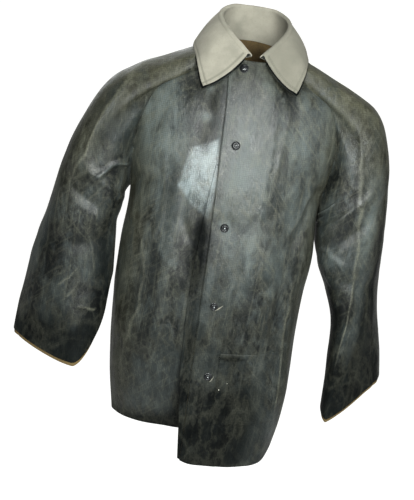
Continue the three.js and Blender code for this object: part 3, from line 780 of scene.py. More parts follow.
# Painted light and shade on the sleeves, the same with degrees round from the outer edge and the share
# along.
SLEEVE_LIGHT_AND_SHADE = {
    "right": table("across down wide tall shade", [
        [100, 0.45, 22, 0.07, 0.2],
        [82, 0.36, 20, 0.06, -0.4],
        [118, 0.2, 16, 0.05, 0.3],
        [95, 0.66, 20, 0.08, 0.3],
        [25, 0.25, 20, 0.14, -0.5],
        [75, 0.22, 14, 0.05, -0.45],
        [40, 0.6, 18, 0.15, -0.4],
        [60, 1.0, 90, 0.13, -1.2],
        [85, 0.13, 40, 0.09, -0.6],
        [130, 0.55, 20, 0.2, -0.6],
        [130, 0.85, 30, 0.12, -0.6],
        [15, 0.8, 8, 0.3, 0.25],
    ]),
    "left": table("across down wide tall shade", [
        [150, 0.2, 14, 0.04, 0.8],
        [125, 0.49, 22, 0.06, 1.0],
        [95, 0.52, 18, 0.07, 0.5],
        [70, 0.45, 14, 0.1, 1.1],
        [75, 0.3, 12, 0.08, 0.4],
        [38, 0.4, 12, 0.25, -0.8],
        [40, 0.75, 25, 0.15, -0.7],
        [75, 1.0, 90, 0.15, -1.3],
        [140, 0.72, 25, 0.17, -0.8],
        [70, 0.72, 10, 0.12, 0.35],
    ]),
}


# The facet beside the placket, where a highlight is painted and the coat is glossier, round its corners in
# shares of CHEST across and of LENGTH down.
HIGHLIGHT_FACET = [
    (-0.11, 0.215), (-0.225, 0.242), (-0.262, 0.33), (-0.185, 0.372), (-0.112, 0.395),
    (-0.09, 0.32),
]
HIGHLIGHT_FACET_EDGE = 0.004


def polished(across, down):
    """How far inside the facet with the painted highlight places are, from 0 out of it to 1 within it."""
    inside = np.inf
    for (ax, ay), (bx, by) in itertools.pairwise([*HIGHLIGHT_FACET, HIGHLIGHT_FACET[0]]):
        dx, dy = (bx - ax) * CHEST, (by - ay) * LENGTH
        x, y = (across - ax) * CHEST, (down - ay) * LENGTH
        inside = np.minimum(inside, (x * dy - y * dx) / math.hypot(dx, dy))
    return smooth(0.5 + inside / HIGHLIGHT_FACET_EDGE / 2)


def patched(patches, x, y):
    """How much painted light and painted shade the coat has at places."""
    shade = 0
    for across, down, wide, tall, share in zip(*patches.values()):
        shade = shade + share * np.exp(-(((x - across) / wide) ** 2) - ((y - down) / tall) ** 2)
    return np.clip(shade, 0, 1), np.clip(-shade, 0, 1)


# Fronts, back, fly and pocket

# Sheets in metres across and up, which set how fine their meshes are
UNDER_SIZE = (0.26, 0.82)
OVER_SIZE = (0.26, 0.86)
BACK_SIZE = (0.56, 0.84)
FLY_SIZE = (0.04, 0.6)

FRONT_RUN = 0.25  # metres from a front's side seam to its edge
BACK_RUN = 0.55  # and round the back from one side seam to the other
SEAM_HOLD = 0.03  # a seam holds the cloth flat this far out
SEAM_FILL = 0.0025  # how much the raglan seams are filled out
SNAP_HOLD = 0.024  # a snap holds the cloth flat this far out
SNAP_FREE = 0.4  # share of SNAP_HOLD over which it is wholly flat
POCKET_FLAT = 0.0008  # how far the worn-down pocket stands out of the panel
POCKET_CORNER = 0.0022  # and how much more its front corner does
CORNER_REACH = (0.3, 0.15)  # the corner's reach as shares of the pocket's width and height

# Edge of the facing inside the over-front, which shows through as a line.
FACING = table("down across", [
    [0.05, 0.12], [0.09, 0.127], [0.22, 0.14], [0.31, 0.122], [0.39, 0.12], [0.51, 0.108], [0.6, 0.097],
    [0.8, 0.09], [1.05, 0.09],
])
FACING_RISE = 0.0005
FACING_EDGE = 0.003

# How the coat changes over the body: where that starts, where it is full and how much it is then. The first
# three go by level, SIDE_OLIVE by the share of CHEST from the middle, and the rest by the share of LENGTH
# down. The darkening toward the hem and over the skirt is painted shade.
NECK_HELD = (0.93, 1.0, 0.8)
NECK_OLIVE = (0.86, 1.0, 0.55)
HEM_SHADE = (0.1, 0.0, 0.8)
SIDE_OLIVE = (0.33, 0.45, 0.6)
SKIRT_SHADE = (0.42, 0.67, 0.5)
# Painted sheen inside the facing's line
FACING_SHEEN = (0.62, 0.42, 0.16)
SEAM_FILLED = (0.45, 0.35, SEAM_FILL)
# The storm fly, under the over-front's edge, is painted darker below its middle: painted shade
FLY_DARKENS = (0.4, 0.5)
FLY_SHADE = 0.7
LINE_WEAR = 0.35  # how tan the edges of the crumples are
BACK_BLOOM = 0.15


def over_place(u, v):
    level = level_at(v)
    return lerp(angle_at(-OVERLAP_EDGE, level), seam("front", level) - SEAM_GAP, u), level


def under_place(u, v):
    level = level_at(v)
    return lerp(SEAM_GAP - seam("front", level), angle_at(UNDERLAP_EDGE, level), u), level


def back_place(u, v):
    level = level_at(v)
    start = seam("back", level) + SEAM_GAP
    return lerp(start, 360 - start, u), level


def fly_place(u, v):
    level = v * FLY_TOP
    show = column(FLY, "level", level, "show") * FLY_SHOW
    start = angle_at(-OVERLAP_EDGE - show, level)
    return lerp(start, angle_at(FLY_HIDDEN - OVERLAP_EDGE, level), u), level


def pocket_place(u, v):
    x = POCKET_ACROSS + u * POCKET_WIDTH
    level = level_of(x, POCKET_RISE - LENGTH - (1 - v) * POCKET_HEIGHT)
    return angle_at(x, level), level


def pocket_form(u, v):
    corner = bell(u, CORNER_REACH[0]) * bell(1 - v, CORNER_REACH[1])
    return over_front(*pocket_place(u, v), POCKET_FLAT + POCKET_CORNER * corner)


def in_metres(places):
    """Across and up in metres, from shares of CHEST across and of LENGTH down."""
    return np.array(places).T * np.array([[CHEST], [-LENGTH]])


def snap_places():
    """Angle and level of each snap on the over-front."""
    x, z = in_metres(SNAPS)
    level = level_of(x, z)
    return angle_at(x, level), level


def body_relief(place, seam_away, faced=False, black=0.0):
    """Relief of a piece of the body: crumples, creases and the places where seams hold it flat."""

    def relief(u, v):
        angle, level = place(u, v)
        spots = body_point(angle, level)
        rise, worn = crumple(spots)
        across, down = spots[..., 0] / CHEST, -spots[..., 2] / LENGTH
        ahead = np.cos(np.radians(angle)) > 0
        extra, tan, pale = creased(FRONT_CREASES, spots, across, down, (CHEST, LENGTH))
        light, dark = patched(LIGHT_AND_SHADE_PATCHES, across, down)
        held = np.maximum(1 - smooth(seam_away(u, v) / SEAM_HOLD), ramp(level, *NECK_HELD))
        for spot in body_point(*snap_places()):
            away = np.linalg.norm(spots - spot, axis=-1)
            held = np.maximum(held, 1 - smooth(away / SNAP_HOLD - SNAP_FREE))
        rise = (rise + np.where(ahead, extra, 0)) * (1 - held)
        if faced:
            edge = np.interp(down, FACING["down"], FACING["across"])
            inside = smooth((edge - across) * CHEST / FACING_EDGE)
            rise = rise + FACING_RISE * inside
            # Painted sheen inside the facing's line
            light = light + inside * ramp(down, *FACING_SHEEN)
        rise = rise + ramp(down, *SEAM_FILLED) * bell(seam_away(u, v), SEAM_HOLD)
        # Painted shade: the dark patches, darker toward the hem and over the skirt, and the fly darker
        # below its middle
        soot = np.maximum(np.where(ahead, dark, 0), ramp(level, *HEM_SHADE))
        soot = np.maximum(soot, ramp(down, *FLY_DARKENS, black))
        return rise, {
            "worn": np.maximum(LINE_WEAR * worn, np.where(ahead, tan, 0)),
            "soot": np.maximum(soot, ramp(down, *SKIRT_SHADE)),
            "olive": np.maximum(ramp(level, *NECK_OLIVE), ramp(abs(across), *SIDE_OLIVE)),
            # Painted light on the fronts: pale patches, the facing's sheen and highlights along crease
            # ridges
            "bloom": np.where(ahead, np.maximum(light, pale), BACK_BLOOM),
            # Painted highlight on the facet beside the placket, which is also made glossier
            "gloss": np.where(ahead, polished(across, down), 0),
        }

    return relief


class JACKET_OT_body(bpy.types.Operator):
    """Adds the two fronts, the back, the storm fly and the hip pocket"""

    bl_idname = "jacket.body"
    bl_label = "Body"

    def execute(self, context):
        coat = [rubber_cloth(), canvas_backing()]
        lapped = [rubber_cloth(), rubber_cloth()]

        def laid(surface, place, *lift):
            return lambda u, v: surface(*place(u, v), *lift)

        def free(u, v):
            return np.ones_like(u)

        right = body_relief(under_place, lambda u, v: u * FRONT_RUN)
        left = body_relief(over_place, lambda u, v: (1 - u) * FRONT_RUN, faced=True)
        rear = body_relief(back_place, lambda u, v: np.minimum(u, 1 - u) * BACK_RUN)
        fly = body_relief(fly_place, free, black=FLY_SHADE)
        patch = body_relief(pocket_place, free)
        fly_form = laid(over_front, fly_place, -RUBBER - SEAT)
        patch_size = (POCKET_WIDTH, POCKET_HEIGHT)
        pieces = [
            ("under_front", "front_right", laid(body_point, under_place), UNDER_SIZE, RUBBER, right, coat),
            ("over_front", "front_left", laid(over_front, over_place), OVER_SIZE, RUBBER, left, coat),
            ("back_panel", "back", laid(body_point, back_place), BACK_SIZE, RUBBER, rear, coat),
            ("fly_strip", "storm_fly", fly_form, FLY_SIZE, THIN_RUBBER, fly, lapped),
            ("pocket_patch", "hip_pocket", pocket_form, patch_size, THIN_RUBBER, patch, lapped),
        ]
        for name, node, *build in pieces:
            dress(cloth(name, *build), "rubber", node)
        return {"FINISHED"}


# Sleeves and cuffs

CUFF_BAND = 0.0075  # facing that shows past the rubber of the cuff
GROOVE_DEPTH = 0.0008  # the seam along a sleeve is sunk this deep
GROOVE_WIDTH = 0.003
GROOVE_LINE = 0.002  # half width of the dirt in it
GROOVE_SOOT = 0.6
LAP_RISE = 0.0009  # the lap beside the raglan seam stands out this much
LAP_EDGE = 0.002

# How the coat changes along a sleeve: where that starts, where it is full and how much it is then. The
# darkening toward the cuff is painted shade.
SLEEVE_SHADE = (0.3, 0.65, 0.42)
SLEEVE_OLIVE = (0.62, 0.12, 0.95)


def sleeve_form(sleeve):
    """Points of a sleeve's outside, across round it and up from the cuff."""
    def turn(u):
        return u if sleeve["side"] < 0 else 1 - u

    def plain(u, v):
        return sleeve_base(sleeve, turn(u), 1 - v * (1 - SEAM_START))

    def shape(u, v):
        return plain(u, v) + outward(plain, u, v) * sleeve_fold(sleeve, turn(u), 1 - v)[..., None]

    return turn, shape


def sleeve_relief(name, sleeve, turn, shape):
    """Relief of a sleeve: crumples, creases, the lap at its top and the seam along it."""

    def relief(u, v):
        along = 1 - v
        degrees = np.degrees(sleeve_turn(turn(u))[2])
        spots = shape(u, v)
        rise, worn = crumple(spots)
        scale = (SLEEVE_ROUND / 360, sleeve["drop"])
        extra, tan, pale = creased(SLEEVE_CREASES[name], spots, degrees, along, scale)
        light, dark = patched(SLEEVE_LIGHT_AND_SHADE[name], degrees, along)
        seam_line = [(px * scale[0], py * scale[1]) for px, py in SLEEVE_SEAM]
        off_line, _ = along_line(degrees * scale[0], along * scale[1], seam_line)
        seam_away = along * sleeve["drop"]
        rise = (rise + extra) * smooth(seam_away / SEAM_HOLD) - GROOVE_DEPTH * bell(off_line, GROOVE_WIDTH)
        lapped = 1 - smooth((seam_away - sizes().lap) / LAP_EDGE)
        rise = rise + LAP_RISE * lapped * smooth(seam_away / LAP_EDGE)
        front = smooth(2 * np.sin(np.radians(degrees)))
        rise = rise + SEAM_FILL * front * bell(seam_away, SEAM_HOLD)
        top = np.maximum(np.cos(np.radians(degrees)), 0)
        dirt = GROOVE_SOOT * bell(off_line, GROOVE_LINE)
        return rise, {
            "worn": np.maximum(LINE_WEAR * worn, tan),
            # Painted shade: dark patches and darker toward the cuff, with the dark line of dirt in the
            # seam's groove
            "soot": np.maximum(dark + ramp(along, *SLEEVE_SHADE), dirt),
            "olive": ramp(along, *SLEEVE_OLIVE) * np.sqrt(top),
            # Painted light on the sleeve: pale patches and highlights along fold ridges
            "bloom": np.maximum(light, pale),
        }

    return relief


class JACKET_OT_sleeves(bpy.types.Operator):
    """Adds the two raglan sleeves and the brown canvas facings of their cuffs"""

    bl_idname = "jacket.sleeves"
    bl_label = "Sleeves"

    def execute(self, context):
        coat = [rubber_cloth(), canvas_backing()]
        brown = cuff_canvas()
        for name, sleeve in SLEEVES.items():
            turn, shape = sleeve_form(sleeve)
            relief = sleeve_relief(name, sleeve, turn, shape)
            size = (SLEEVE_ROUND, sleeve["drop"])
            outside = cloth(f"sleeve_cloth_{name}", shape, size, RUBBER, relief, coat, wrap=True)
            dress(outside, "rubber", f"sleeve_{name}")

            def inside(u, v):
                rise, _ = relief(u, v)
                return shape(u, v) + outward(shape, u, v) * (rise - RUBBER - SEAT)[..., None]

            hidden = CUFF_HIDDEN / sleeve["drop"]

            def band(u, v):
                up = (v - 0.5) * 2 * hidden
                edge = inside(u, 0 * v)
                down = unit(edge - inside(u, 0 * v + hidden))
                shown = edge + down * (-up * CUFF_BAND / hidden)[..., None]
                return np.where((up >= 0)[..., None], inside(u, np.maximum(up, 0)), shown)

            def flat(u, v):
                return np.zeros_like(u), {}

            size = (SLEEVE_ROUND, 2 * CUFF_HIDDEN)
            facing = cloth(f"cuff_band_{name}", band, size, THIN_RUBBER, flat, [brown, brown], wrap=True)
            dress(facing, "cuff_canvas", f"cuff_facing_{name}")
        return {"FINISHED"}


# Collar and its stitching

COLLAR_SIZE = (0.62, 0.15)  # metres round the neck, and from the leaf's edge to the neck seam
COLLAR_CELL = 0.0016
LEAF_BOW = 0.011  # how far the front edges of the leaves bow out
BOW_REACH = 0.07  # and over what share of the collar
LEAF_BLUNT = 0.0015  # how far their points are rounded off
BLUNT_REACH = 0.012
BLUNT_FROM = 0.75  # share of the way down the leaf where that starts
LONG_LEAF = 0.011  # how much longer the leaf on the wearer's right is
LONG_FROM = 0.7  # share of the way round the collar where that starts
NECK_LAP = 0.0025  # how far the stand goes down past the neck's edge
LAP_FROM = 0.9
DARK_EDGE = 0.0034  # under-collar that shows round the leaves
EDGE_GROWS = 6  # the under-collar's edge is full after this part of the leaf, here a sixth

SEWN_DEPTH = 0.0005  # how deep the stitching pulls the canvas in
STITCH_GAP = 0.0008
LINE_DOWN = 40  # points along the stitching on each front edge
LINE_ROUND = 600  # and round the leaves
THREAD_SIDES = 6
THREAD_RINGS = 5

# Soft waves of the collar: height and cell in metres, and seed
WAVES = [(0.0012, 0.05, 31), (0.0005, 0.018, 32)]
SOIL_CELL = 0.03
SOIL_SEED = 33
HANDLED = (0.4, 0.25)  # shares of the way round between which the leaf gets grey from handling


def bowed_leaf(u, v, edge):
    """The collar with the front edges of its leaves bowed and their points blunt."""
    end, off_end = np.round(u), np.minimum(u, 1 - u)
    along = unit(collar_form(end, v, edge) - collar_form(lerp(end, 0.5, 0.12), v, edge))
    down = unit(collar_form(u, 0 * v, edge) - collar_form(u, 0 * v + 0.2, edge))
    t = np.clip(1 - v / LEAF_END, 0, 1)
    bow = (LEAF_BOW * np.sin(math.pi * t) + edge * smooth(t * EDGE_GROWS)) * bell(off_end, BOW_REACH)
    blunt = ramp(t, BLUNT_FROM, 1, LEAF_BLUNT) * bell(off_end, BLUNT_REACH)
    longer = t * ramp(u, LONG_FROM, 1, LONG_LEAF)
    point = collar_form(u, v, edge)
    point[..., 2] -= ramp(v, LAP_FROM, 1, NECK_LAP)
    return point + along * (bow - blunt)[..., None] + down * (longer - blunt)[..., None]


def collar_leaf(u, v):
    return bowed_leaf(u, v, 0)


def under_leaf(u, v):
    def wider(a, b):
        return bowed_leaf(a, b, DARK_EDGE)

    u = np.clip(u, 0, 1)
    return wider(u, v) - outward(wider, u, v) * (CANVAS + CLEARANCE)


def stitch_margins():
    """Shares of the collar's width and height that the stitching keeps to its edges."""
    near = np.array([0.1])
    ends = np.linalg.norm(collar_leaf(near, near) - collar_leaf(0 * near, near)) / near[0]
    fall = np.linalg.norm(collar_leaf(0 * near, 0 * near) - collar_leaf(0 * near, 0 * near + LEAF_END))
    return sizes().inset / ends, sizes().inset / fall * LEAF_END


def collar_relief(u, v):
    """Soft waves, the stitching pulled in, and grey where the leaf has been handled."""
    side, low = stitch_margins()
    sewn = bell(v - low, 0.2 * low) + bell(np.minimum(u, 1 - u) - side, 0.25 * side)
    sewn = np.clip(sewn, 0, 1) * (v < LEAF_END)
    spots = collar_leaf(u, v)
    waves = sum(height * soft_noise(spots, cell, seed) for height, cell, seed in WAVES)
    soil = 0.5 + 0.5 * soft_noise(spots, SOIL_CELL, SOIL_SEED)
    rise = waves * smooth(v / 0.1) * smooth((1 - v) / 0.1) - SEWN_DEPTH * sewn
    return rise, {"sewn": sewn, "handled": ramp(u, *HANDLED) * (0.45 + 0.25 * soil)}


def under_relief(u, v):
    return np.zeros_like(u), {"soot": np.ones_like(u)}


def sewn_line(line, out, name, material):
    """Stitches along a line of points, each a rounded thread that dips at its ends."""
    steps = np.linalg.norm(np.diff(line, axis=0), axis=1)
    reach = np.concatenate([[0], np.cumsum(steps)])
    stitch, thread = sizes().stitch, sizes().thread
    share = np.linspace(0, 1, THREAD_RINGS)
    arch = np.sin(math.pi * share)
    radius = thread / 2 * (0.35 + 0.65 * arch)
    spots, faces = [], []

    def between(rows, at):
        return np.stack([np.interp(at, reach, rows[:, i]) for i in range(3)], axis=-1)

    for start in np.arange(0, reach[-1] - stitch, stitch + STITCH_GAP):
        at = start + share * stitch
        normal = unit(between(out, at))
        middle = between(line, at) + normal * (thread * (0.6 * arch - 0.2))[:, None]
        side = unit(np.cross(normal, unit(middle[-1] - middle[0])))
        first = len(spots) * THREAD_SIDES
        for i in range(THREAD_RINGS):
            spots.append(middle[i] + radius[i] * circle(THREAD_SIDES, side[i], normal[i]))
        faces += ring_faces(first, THREAD_RINGS, THREAD_SIDES)
        faces.append([first + j for j in reversed(range(THREAD_SIDES))])
        faces.append([first + (THREAD_RINGS - 1) * THREAD_SIDES + j for j in range(THREAD_SIDES)])
    return add_object(name, np.concatenate(spots), faces, [material])


class JACKET_OT_collar(bpy.types.Operator):
    """Adds the pale canvas collar, its stitching and the dark under-collar"""

    bl_idname = "jacket.collar"
    bl_label = "Collar"

    def execute(self, context):
        pale = [collar_canvas()] * 2
        top = cloth("collar_cloth", collar_leaf, COLLAR_SIZE, CANVAS, collar_relief, pale, cell=COLLAR_CELL)
        dress(top, "collar_canvas", "collar_top")
        coat = [rubber_cloth()] * 2
        under = cloth("collar_backing", under_leaf, COLLAR_SIZE, THIN_RUBBER, under_relief, coat)
        dress(under, "collar_rubber", "collar_under")
        side, low = stitch_margins()
        down = np.linspace(LEAF_END, low, LINE_DOWN)
        over = np.linspace(side, 1 - side, LINE_ROUND)
        u = np.concatenate([np.full(LINE_DOWN, side), over, np.full(LINE_DOWN, 1 - side)])
        v = np.concatenate([down, np.full(LINE_ROUND, low), down[::-1]])
        out = outward(collar_leaf, u, v)
        rise, _ = collar_relief(u, v)
        line = collar_leaf(u, v) + out * rise[:, None]
        thread = sewn_line(line, out, "collar_stitches", cotton_thread())
        dress(thread, "collar_canvas")
        return {"FINISHED"}


# Snaps, torn places and paint flecks

# Snap caps from the flange to the middle: radius as a share of the diameter and height as a
# share of the height. The top one is a plain dome, the rest are rings round a small dome.
DOME_CAP = [
    (0.5, 0.0), (0.5, 0.12), (0.46, 0.2), (0.4, 0.24), (0.39, 0.45), (0.36, 0.68), (0.29, 0.86),
    (0.18, 0.98), (0.08, 1.03), (0.0, 1.04),
]
RING_CAP = [
    (0.5, 0.0), (0.5, 0.12), (0.46, 0.2), (0.4, 0.24), (0.4, 0.5), (0.38, 0.78), (0.33, 0.95),
    (0.28, 0.98), (0.23, 0.86), (0.2, 0.62), (0.17, 0.55), (0.15, 0.66), (0.11, 0.88), (0.06, 0.98),
    (0.0, 1.0),
]
FLECK = [(0.07, 0.0), (0.06, 0.1), (0.0, 0.14)]
BRIGHT = 0.12  # radius within which a ring cap is worn to the metal
SNAP_SIDES = 40
SNAP_SEAT = 0.0008
SNAP_SLOPE = 0.1  # level taken up and down a snap's middle to find how it leans

# Torn places beside the two lowest snaps: from and to, as shares of CHEST across and LENGTH down.
TEARS = [((-0.026, 0.617), (0.014, 0.601)), ((0.0, 0.806), (0.02, 0.79))]
TEAR_STEPS = 15
TEAR_HALF = 0.0017  # half width in the middle, in metres as those below
TEAR_SAG = 0.0015
TEAR_LIFT = 0.0012
TEAR_BULGE = 1.2  # how much its middle stands out, as a share of its half width

# Paint flecks, as shares of CHEST across and LENGTH down.
FLECKS = [(0.101, 0.813), (0.088, 0.806), (0.098, 0.822), (0.05, 0.824), (0.224, 0.895)]
FLECK_REACH = 0.006  # metres over the cloth from which a fleck's place on it is looked for


def turned(name, profile, spot, out, materials, bright=0.0):
    """A cap turned round an axis: the faces nearer the middle than bright take the second material."""
    side = unit(np.cross(out, [0, 0, 1]))
    across = circle(SNAP_SIDES, side, np.cross(out, side))
    spots = []
    for radius, height in profile:
        spots.append(spot + radius * sizes().snap_diameter * across + height * sizes().snap_height * out)
    faces = ring_faces(0, len(profile), SNAP_SIDES)
    slots = np.repeat([int(radius < bright) for radius, _ in profile[:-1]], SNAP_SIDES).tolist()
    faces.append(list(reversed(range(SNAP_SIDES))))
    slots.append(0)
    return add_object(name, np.concatenate(spots), faces, materials, slots)


def over_spot(x, z):
    """Points of the over-front at places across and up, and the directions out of it."""
    level = level_of(x, z)
    angle = angle_at(x, level)

    def near(u, v):
        return over_front(angle + u, level + v * SNAP_SLOPE)

    zero = np.zeros_like(x)
    return near(zero, zero), outward(near, zero, zero)


def torn_edge(name, start, end, material):
    """A slit in the coat with its pale threads bulging out."""
    share = np.linspace(0, 1, TEAR_STEPS)
    open_by = np.sin(math.pi * share)
    x, z = in_metres([lerp(np.array(start), np.array(end), t) for t in share])
    middle, out = over_spot(x, z - TEAR_SAG * open_by)
    up = np.array([0, 0, 1]) - out * out[:, 2:]
    half = (TEAR_HALF * open_by)[:, None]
    rows = [middle - half * up, middle + TEAR_BULGE * half * out, middle + half * up]
    spots = np.concatenate([row + TEAR_LIFT * out for row in rows])
    faces = []
    for first in (0, TEAR_STEPS):
        for j in range(first, first + TEAR_STEPS - 1):
            faces.append([j, j + 1, j + 1 + TEAR_STEPS, j + TEAR_STEPS])
    return add_object(name, spots, faces, [material])


class JACKET_OT_snaps(bpy.types.Operator):
    """Adds the five snaps, the torn places beside two of them and some paint flecks"""

    bl_idname = "jacket.snaps"
    bl_label = "Snaps"

    def execute(self, context):
        finishes = [snap_lacquer(), worn_metal()]
        for i, (spot, out) in enumerate(zip(*over_spot(*in_metres(SNAPS)))):
            profile, bright = (RING_CAP, BRIGHT) if i else (DOME_CAP, 0)
            cap = turned(f"snap_cap_{i + 1}", profile, spot + out * SNAP_SEAT, out, finishes, bright)
            dress(cap, "snap_metal", f"snap_{i + 1}")
        torn, paint = cotton_thread(), old_paint()
        for i, (start, end) in enumerate(TEARS):
            dress(torn_edge(f"torn_edge_{i + 4}", start, end, torn), "rubber")
        context.view_layer.update()
        sheet = bpy.data.objects["over_front"]
        for i, (spot, out) in enumerate(zip(*over_spot(*in_metres(FLECKS)))):
            _, spot, out, _ = sheet.closest_point_on_mesh(spot + FLECK_REACH * out)
            fleck = turned(f"paint_fleck_{i + 1}", FLECK, np.array(spot), np.array(out), [paint])
            dress(fleck, "rubber")
        return {"FINISHED"}


# Finishes


def add_node(tree, kind, values=None, output=0):
    """Adds a node and returns one of its outputs. Values set properties and inputs, or link sockets."""
    node = tree.nodes.new(f"ShaderNode{kind}")
    for key, value in (values or {}).items():
        if isinstance(value, bpy.types.NodeSocket):
            tree.links.new(value, node.inputs[key])
        elif isinstance(key, str) and key in node.bl_rna.properties:
            setattr(node, key, value)
        else:
            node.inputs[key].default_value = value
    return node.outputs[output]


def finish(name, build):
    """The material of that name, built on its first use."""
    made = bpy.data.materials.get(name)
    if made is None:
        made = bpy.data.materials.new(name)
        made.use_nodes = True
        build(made.node_tree, made.node_tree.nodes["Principled BSDF"].inputs)
    return made


def hue(name):
    return (*getattr(bpy.context.scene.jacket_colours, name), 1)


def over(tree, base, *coats):
    """A colour with others laid over it, each where the product of its shares says."""
    for *shares, colour_over in coats:
        share = shares[0]
        for other in shares[1:]:
            share = add_node(tree, "Math", {"operation": "MULTIPLY", 0: share, 1: other})
        base = add_node(tree, "Mix", {"data_type": "RGBA", 0: share, 6: base, 7: colour_over}, 2)
    return base


def layer(tree, name, low=0.0, high=1.0, top=1.0):
    """A painted layer's value, from 0 at low to top at high."""
    painted = add_node(tree, "Attribute", {"attribute_name": name}, "Fac")
    return add_node(tree, "MapRange", {0: painted, 1: low, 2: high, 4: top})


def mapped(tree, rows, sources):
    """Sources mapped by rows: name, source, from low and high, and the values there."""
    made = {}
    for name, source, *ends in rows:
        made[name] = add_node(tree, "MapRange", dict(enumerate([sources[source], *ends])))
    return made


BAND_SCALE = 0.314  # scale of a wave texture whose bands are a metre apart
WEAVE = 0.0012  # metres from thread to thread of the canvas
HATCH = 0.0034  # metres between the coarser ribs that the coat leaves
HATCH_SHARE = 0.22


def ribs(tree, place, pitch, distortion, detail):
    """Bands across and bands upward, a pitch in metres apart."""
    bands = {"Vector": place, "Scale": BAND_SCALE / pitch, "Distortion": distortion, "Detail": detail}
    return [add_node(tree, "TexWave", {**bands, "bands_direction": way}) for way in ("X", "Z")]


def bumps(tree, *heights):
    """A normal pushed by one height after the other, each with its distance in metres and strength."""
    below = {}
    for height, distance, strength in heights:
        push = {"Height": height, "Distance": distance, "Strength": strength, **below}
        below = {"Normal": add_node(tree, "Bump", push)}
    return below["Normal"]


# Noises of the coat, from coarse to fine
CLOUD = {"Scale": 15, "Detail": 10, "Roughness": 0.66, "Distortion": 0.2}
SMOKE = {"Scale": 34, "Detail": 9, "Roughness": 0.72, "Distortion": 0.45}
HAIRS = {"Scale": 110, "Detail": 7, "Roughness": 0.7, "Distortion": 0.7}
GRAIN = {"Scale": 260, "Detail": 3}
CLOUD_TALL = (1, 1, 0.5)  # clouds are twice as tall as wide
HAIR_LONG = (1, 1, 12)  # and hairs twelve times

# Shares of the coat's colours and its shine: source, from low and high, and the values there.
# The last four read the painted layers.
COAT = [
    ("haze", "cloud", 0.48, 0.7, 0, 0.6),
    ("dark", "cloud", 0.54, 0.36, 0, 0.85),
    ("smoky", "smoke", 0.5, 0.68, 0, 0.6),
    ("veins", "ridge", 0.46, 0.5, 0, 0.1),
    ("broken", "grain", 0.32, 0.6, 0.35, 1),
    ("uneven", "smoke", 0.38, 0.6, 0.25, 1),
    ("satin", "smoke", 0.38, 0.62, 0.32, 0.56),
    ("fresh", "soot", 0, 1, 1, 0.1),
    ("sooty", "soot", 0, 1, 1, 0.08),
    ("polished", "gloss", 0, 1, 1, 0.7),
    ("dry", "olive", 0, 1, 0.5, 0.22),
]

# Scuffs in the coat: how far their run leans from upright, in degrees round Y and Z, and share.
SCUFFS = [(4, 10, 0.48), (50, -30, 0.42), (-42, 15, 0.42)]
SCUFF_RANGE = (0.52, 0.74)
RUBBER_IOR = 1.52
CANVAS_IOR = 1.53


def rubber(tree, inputs):
    """Black skin with a smoky grey bloom and hair-fine tan scuffs, semi-gloss, with painted light and shade
    laid over it.
    """
    place = add_node(tree, "TexCoord", {}, "Object")
    tall = add_node(tree, "Mapping", {"Vector": place, "Scale": CLOUD_TALL})
    cloud = add_node(tree, "TexNoise", {"Vector": tall, **CLOUD})
    smoke = add_node(tree, "TexNoise", {"Vector": tall, **SMOKE})
    grain = add_node(tree, "TexNoise", {"Vector": place, **GRAIN})
    ridge = add_node(tree, "Math", {"operation": "PINGPONG", 0: cloud, 1: 0.5})
    sources = {"cloud": cloud, "smoke": smoke, "grain": grain, "ridge": ridge}
    sources.update({name: layer(tree, name) for name in ("soot", "gloss", "olive")})
    share = mapped(tree, COAT, sources)
    uneven = share["uneven"]
    coats = [
        (share["dark"], hue("soot")),
        (share["haze"], hue("bloom")),
        (share["smoky"], hue("bloom")),
        (layer(tree, "olive", top=0.85), uneven, hue("olive")),
        # Painted light from the painted layer: pale washes, sheen and highlights along fold ridges
        (layer(tree, "bloom"), uneven, hue("bloom")),
        # Painted highlight on the glossy facet
        (layer(tree, "gloss", top=0.9), uneven, hue("painted_highlight")),
        # Painted shade and soot from the painted layer, in the black rubber colour
        (layer(tree, "soot", top=0.9), hue("soot")),
        (share["veins"], hue("crease")),
    ]
    for lean, swing, much in SCUFFS:
        leaning = add_node(tree, "Mapping", {
            "vector_type": "TEXTURE", "Vector": place, "Scale": HAIR_LONG,
            "Rotation": (0, math.radians(lean), math.radians(swing)),
        })
        hairs = add_node(tree, "TexNoise", {"Vector": leaning, **HAIRS})
        hairs = add_node(tree, "MapRange", {0: hairs, 1: SCUFF_RANGE[0], 2: SCUFF_RANGE[1], 4: much})
        coats.append((hairs, share["fresh"], hue("crease")))
    coats.append((layer(tree, "worn", 0.05, 0.9, 0.8), share["broken"], uneven, hue("crease")))
    for hatch in ribs(tree, place, HATCH, 5, 3):
        coats.append((hatch, HATCH_SHARE, hue("soot")))
    tree.links.new(over(tree, hue("rubber"), *coats), inputs["Base Color"])
    # The weave shows through the thin coat as a fine grid
    across, upward = ribs(tree, place, WEAVE, 1.5, 1)
    grid = add_node(tree, "Math", {"operation": "MULTIPLY", 0: across, 1: upward})
    relief = [(cloud, 0.006, 0.55), (smoke, 0.002, 0.5), (grain, 0.0004, 0.35), (grid, 0.0002, 0.35)]
    tree.links.new(bumps(tree, *relief), inputs["Normal"])
    shine = {"Roughness": ("satin", "polished"), "Specular IOR Level": ("sooty", "dry")}
    for name, (one, other) in shine.items():
        both = add_node(tree, "Math", {"operation": "MULTIPLY", 0: share[one], 1: share[other]})
        tree.links.new(both, inputs[name])
    inputs["IOR"].default_value = RUBBER_IOR


def rubber_cloth():
    return finish("Natural rubber, spread on cotton canvas", rubber)


# Soil in the canvas: source, from low and high, and the shares there.
SOIL = [("dirty", "cloud", 0.38, 0.68), ("specks", "grain", 0.42, 0.3, 0, 0.5)]


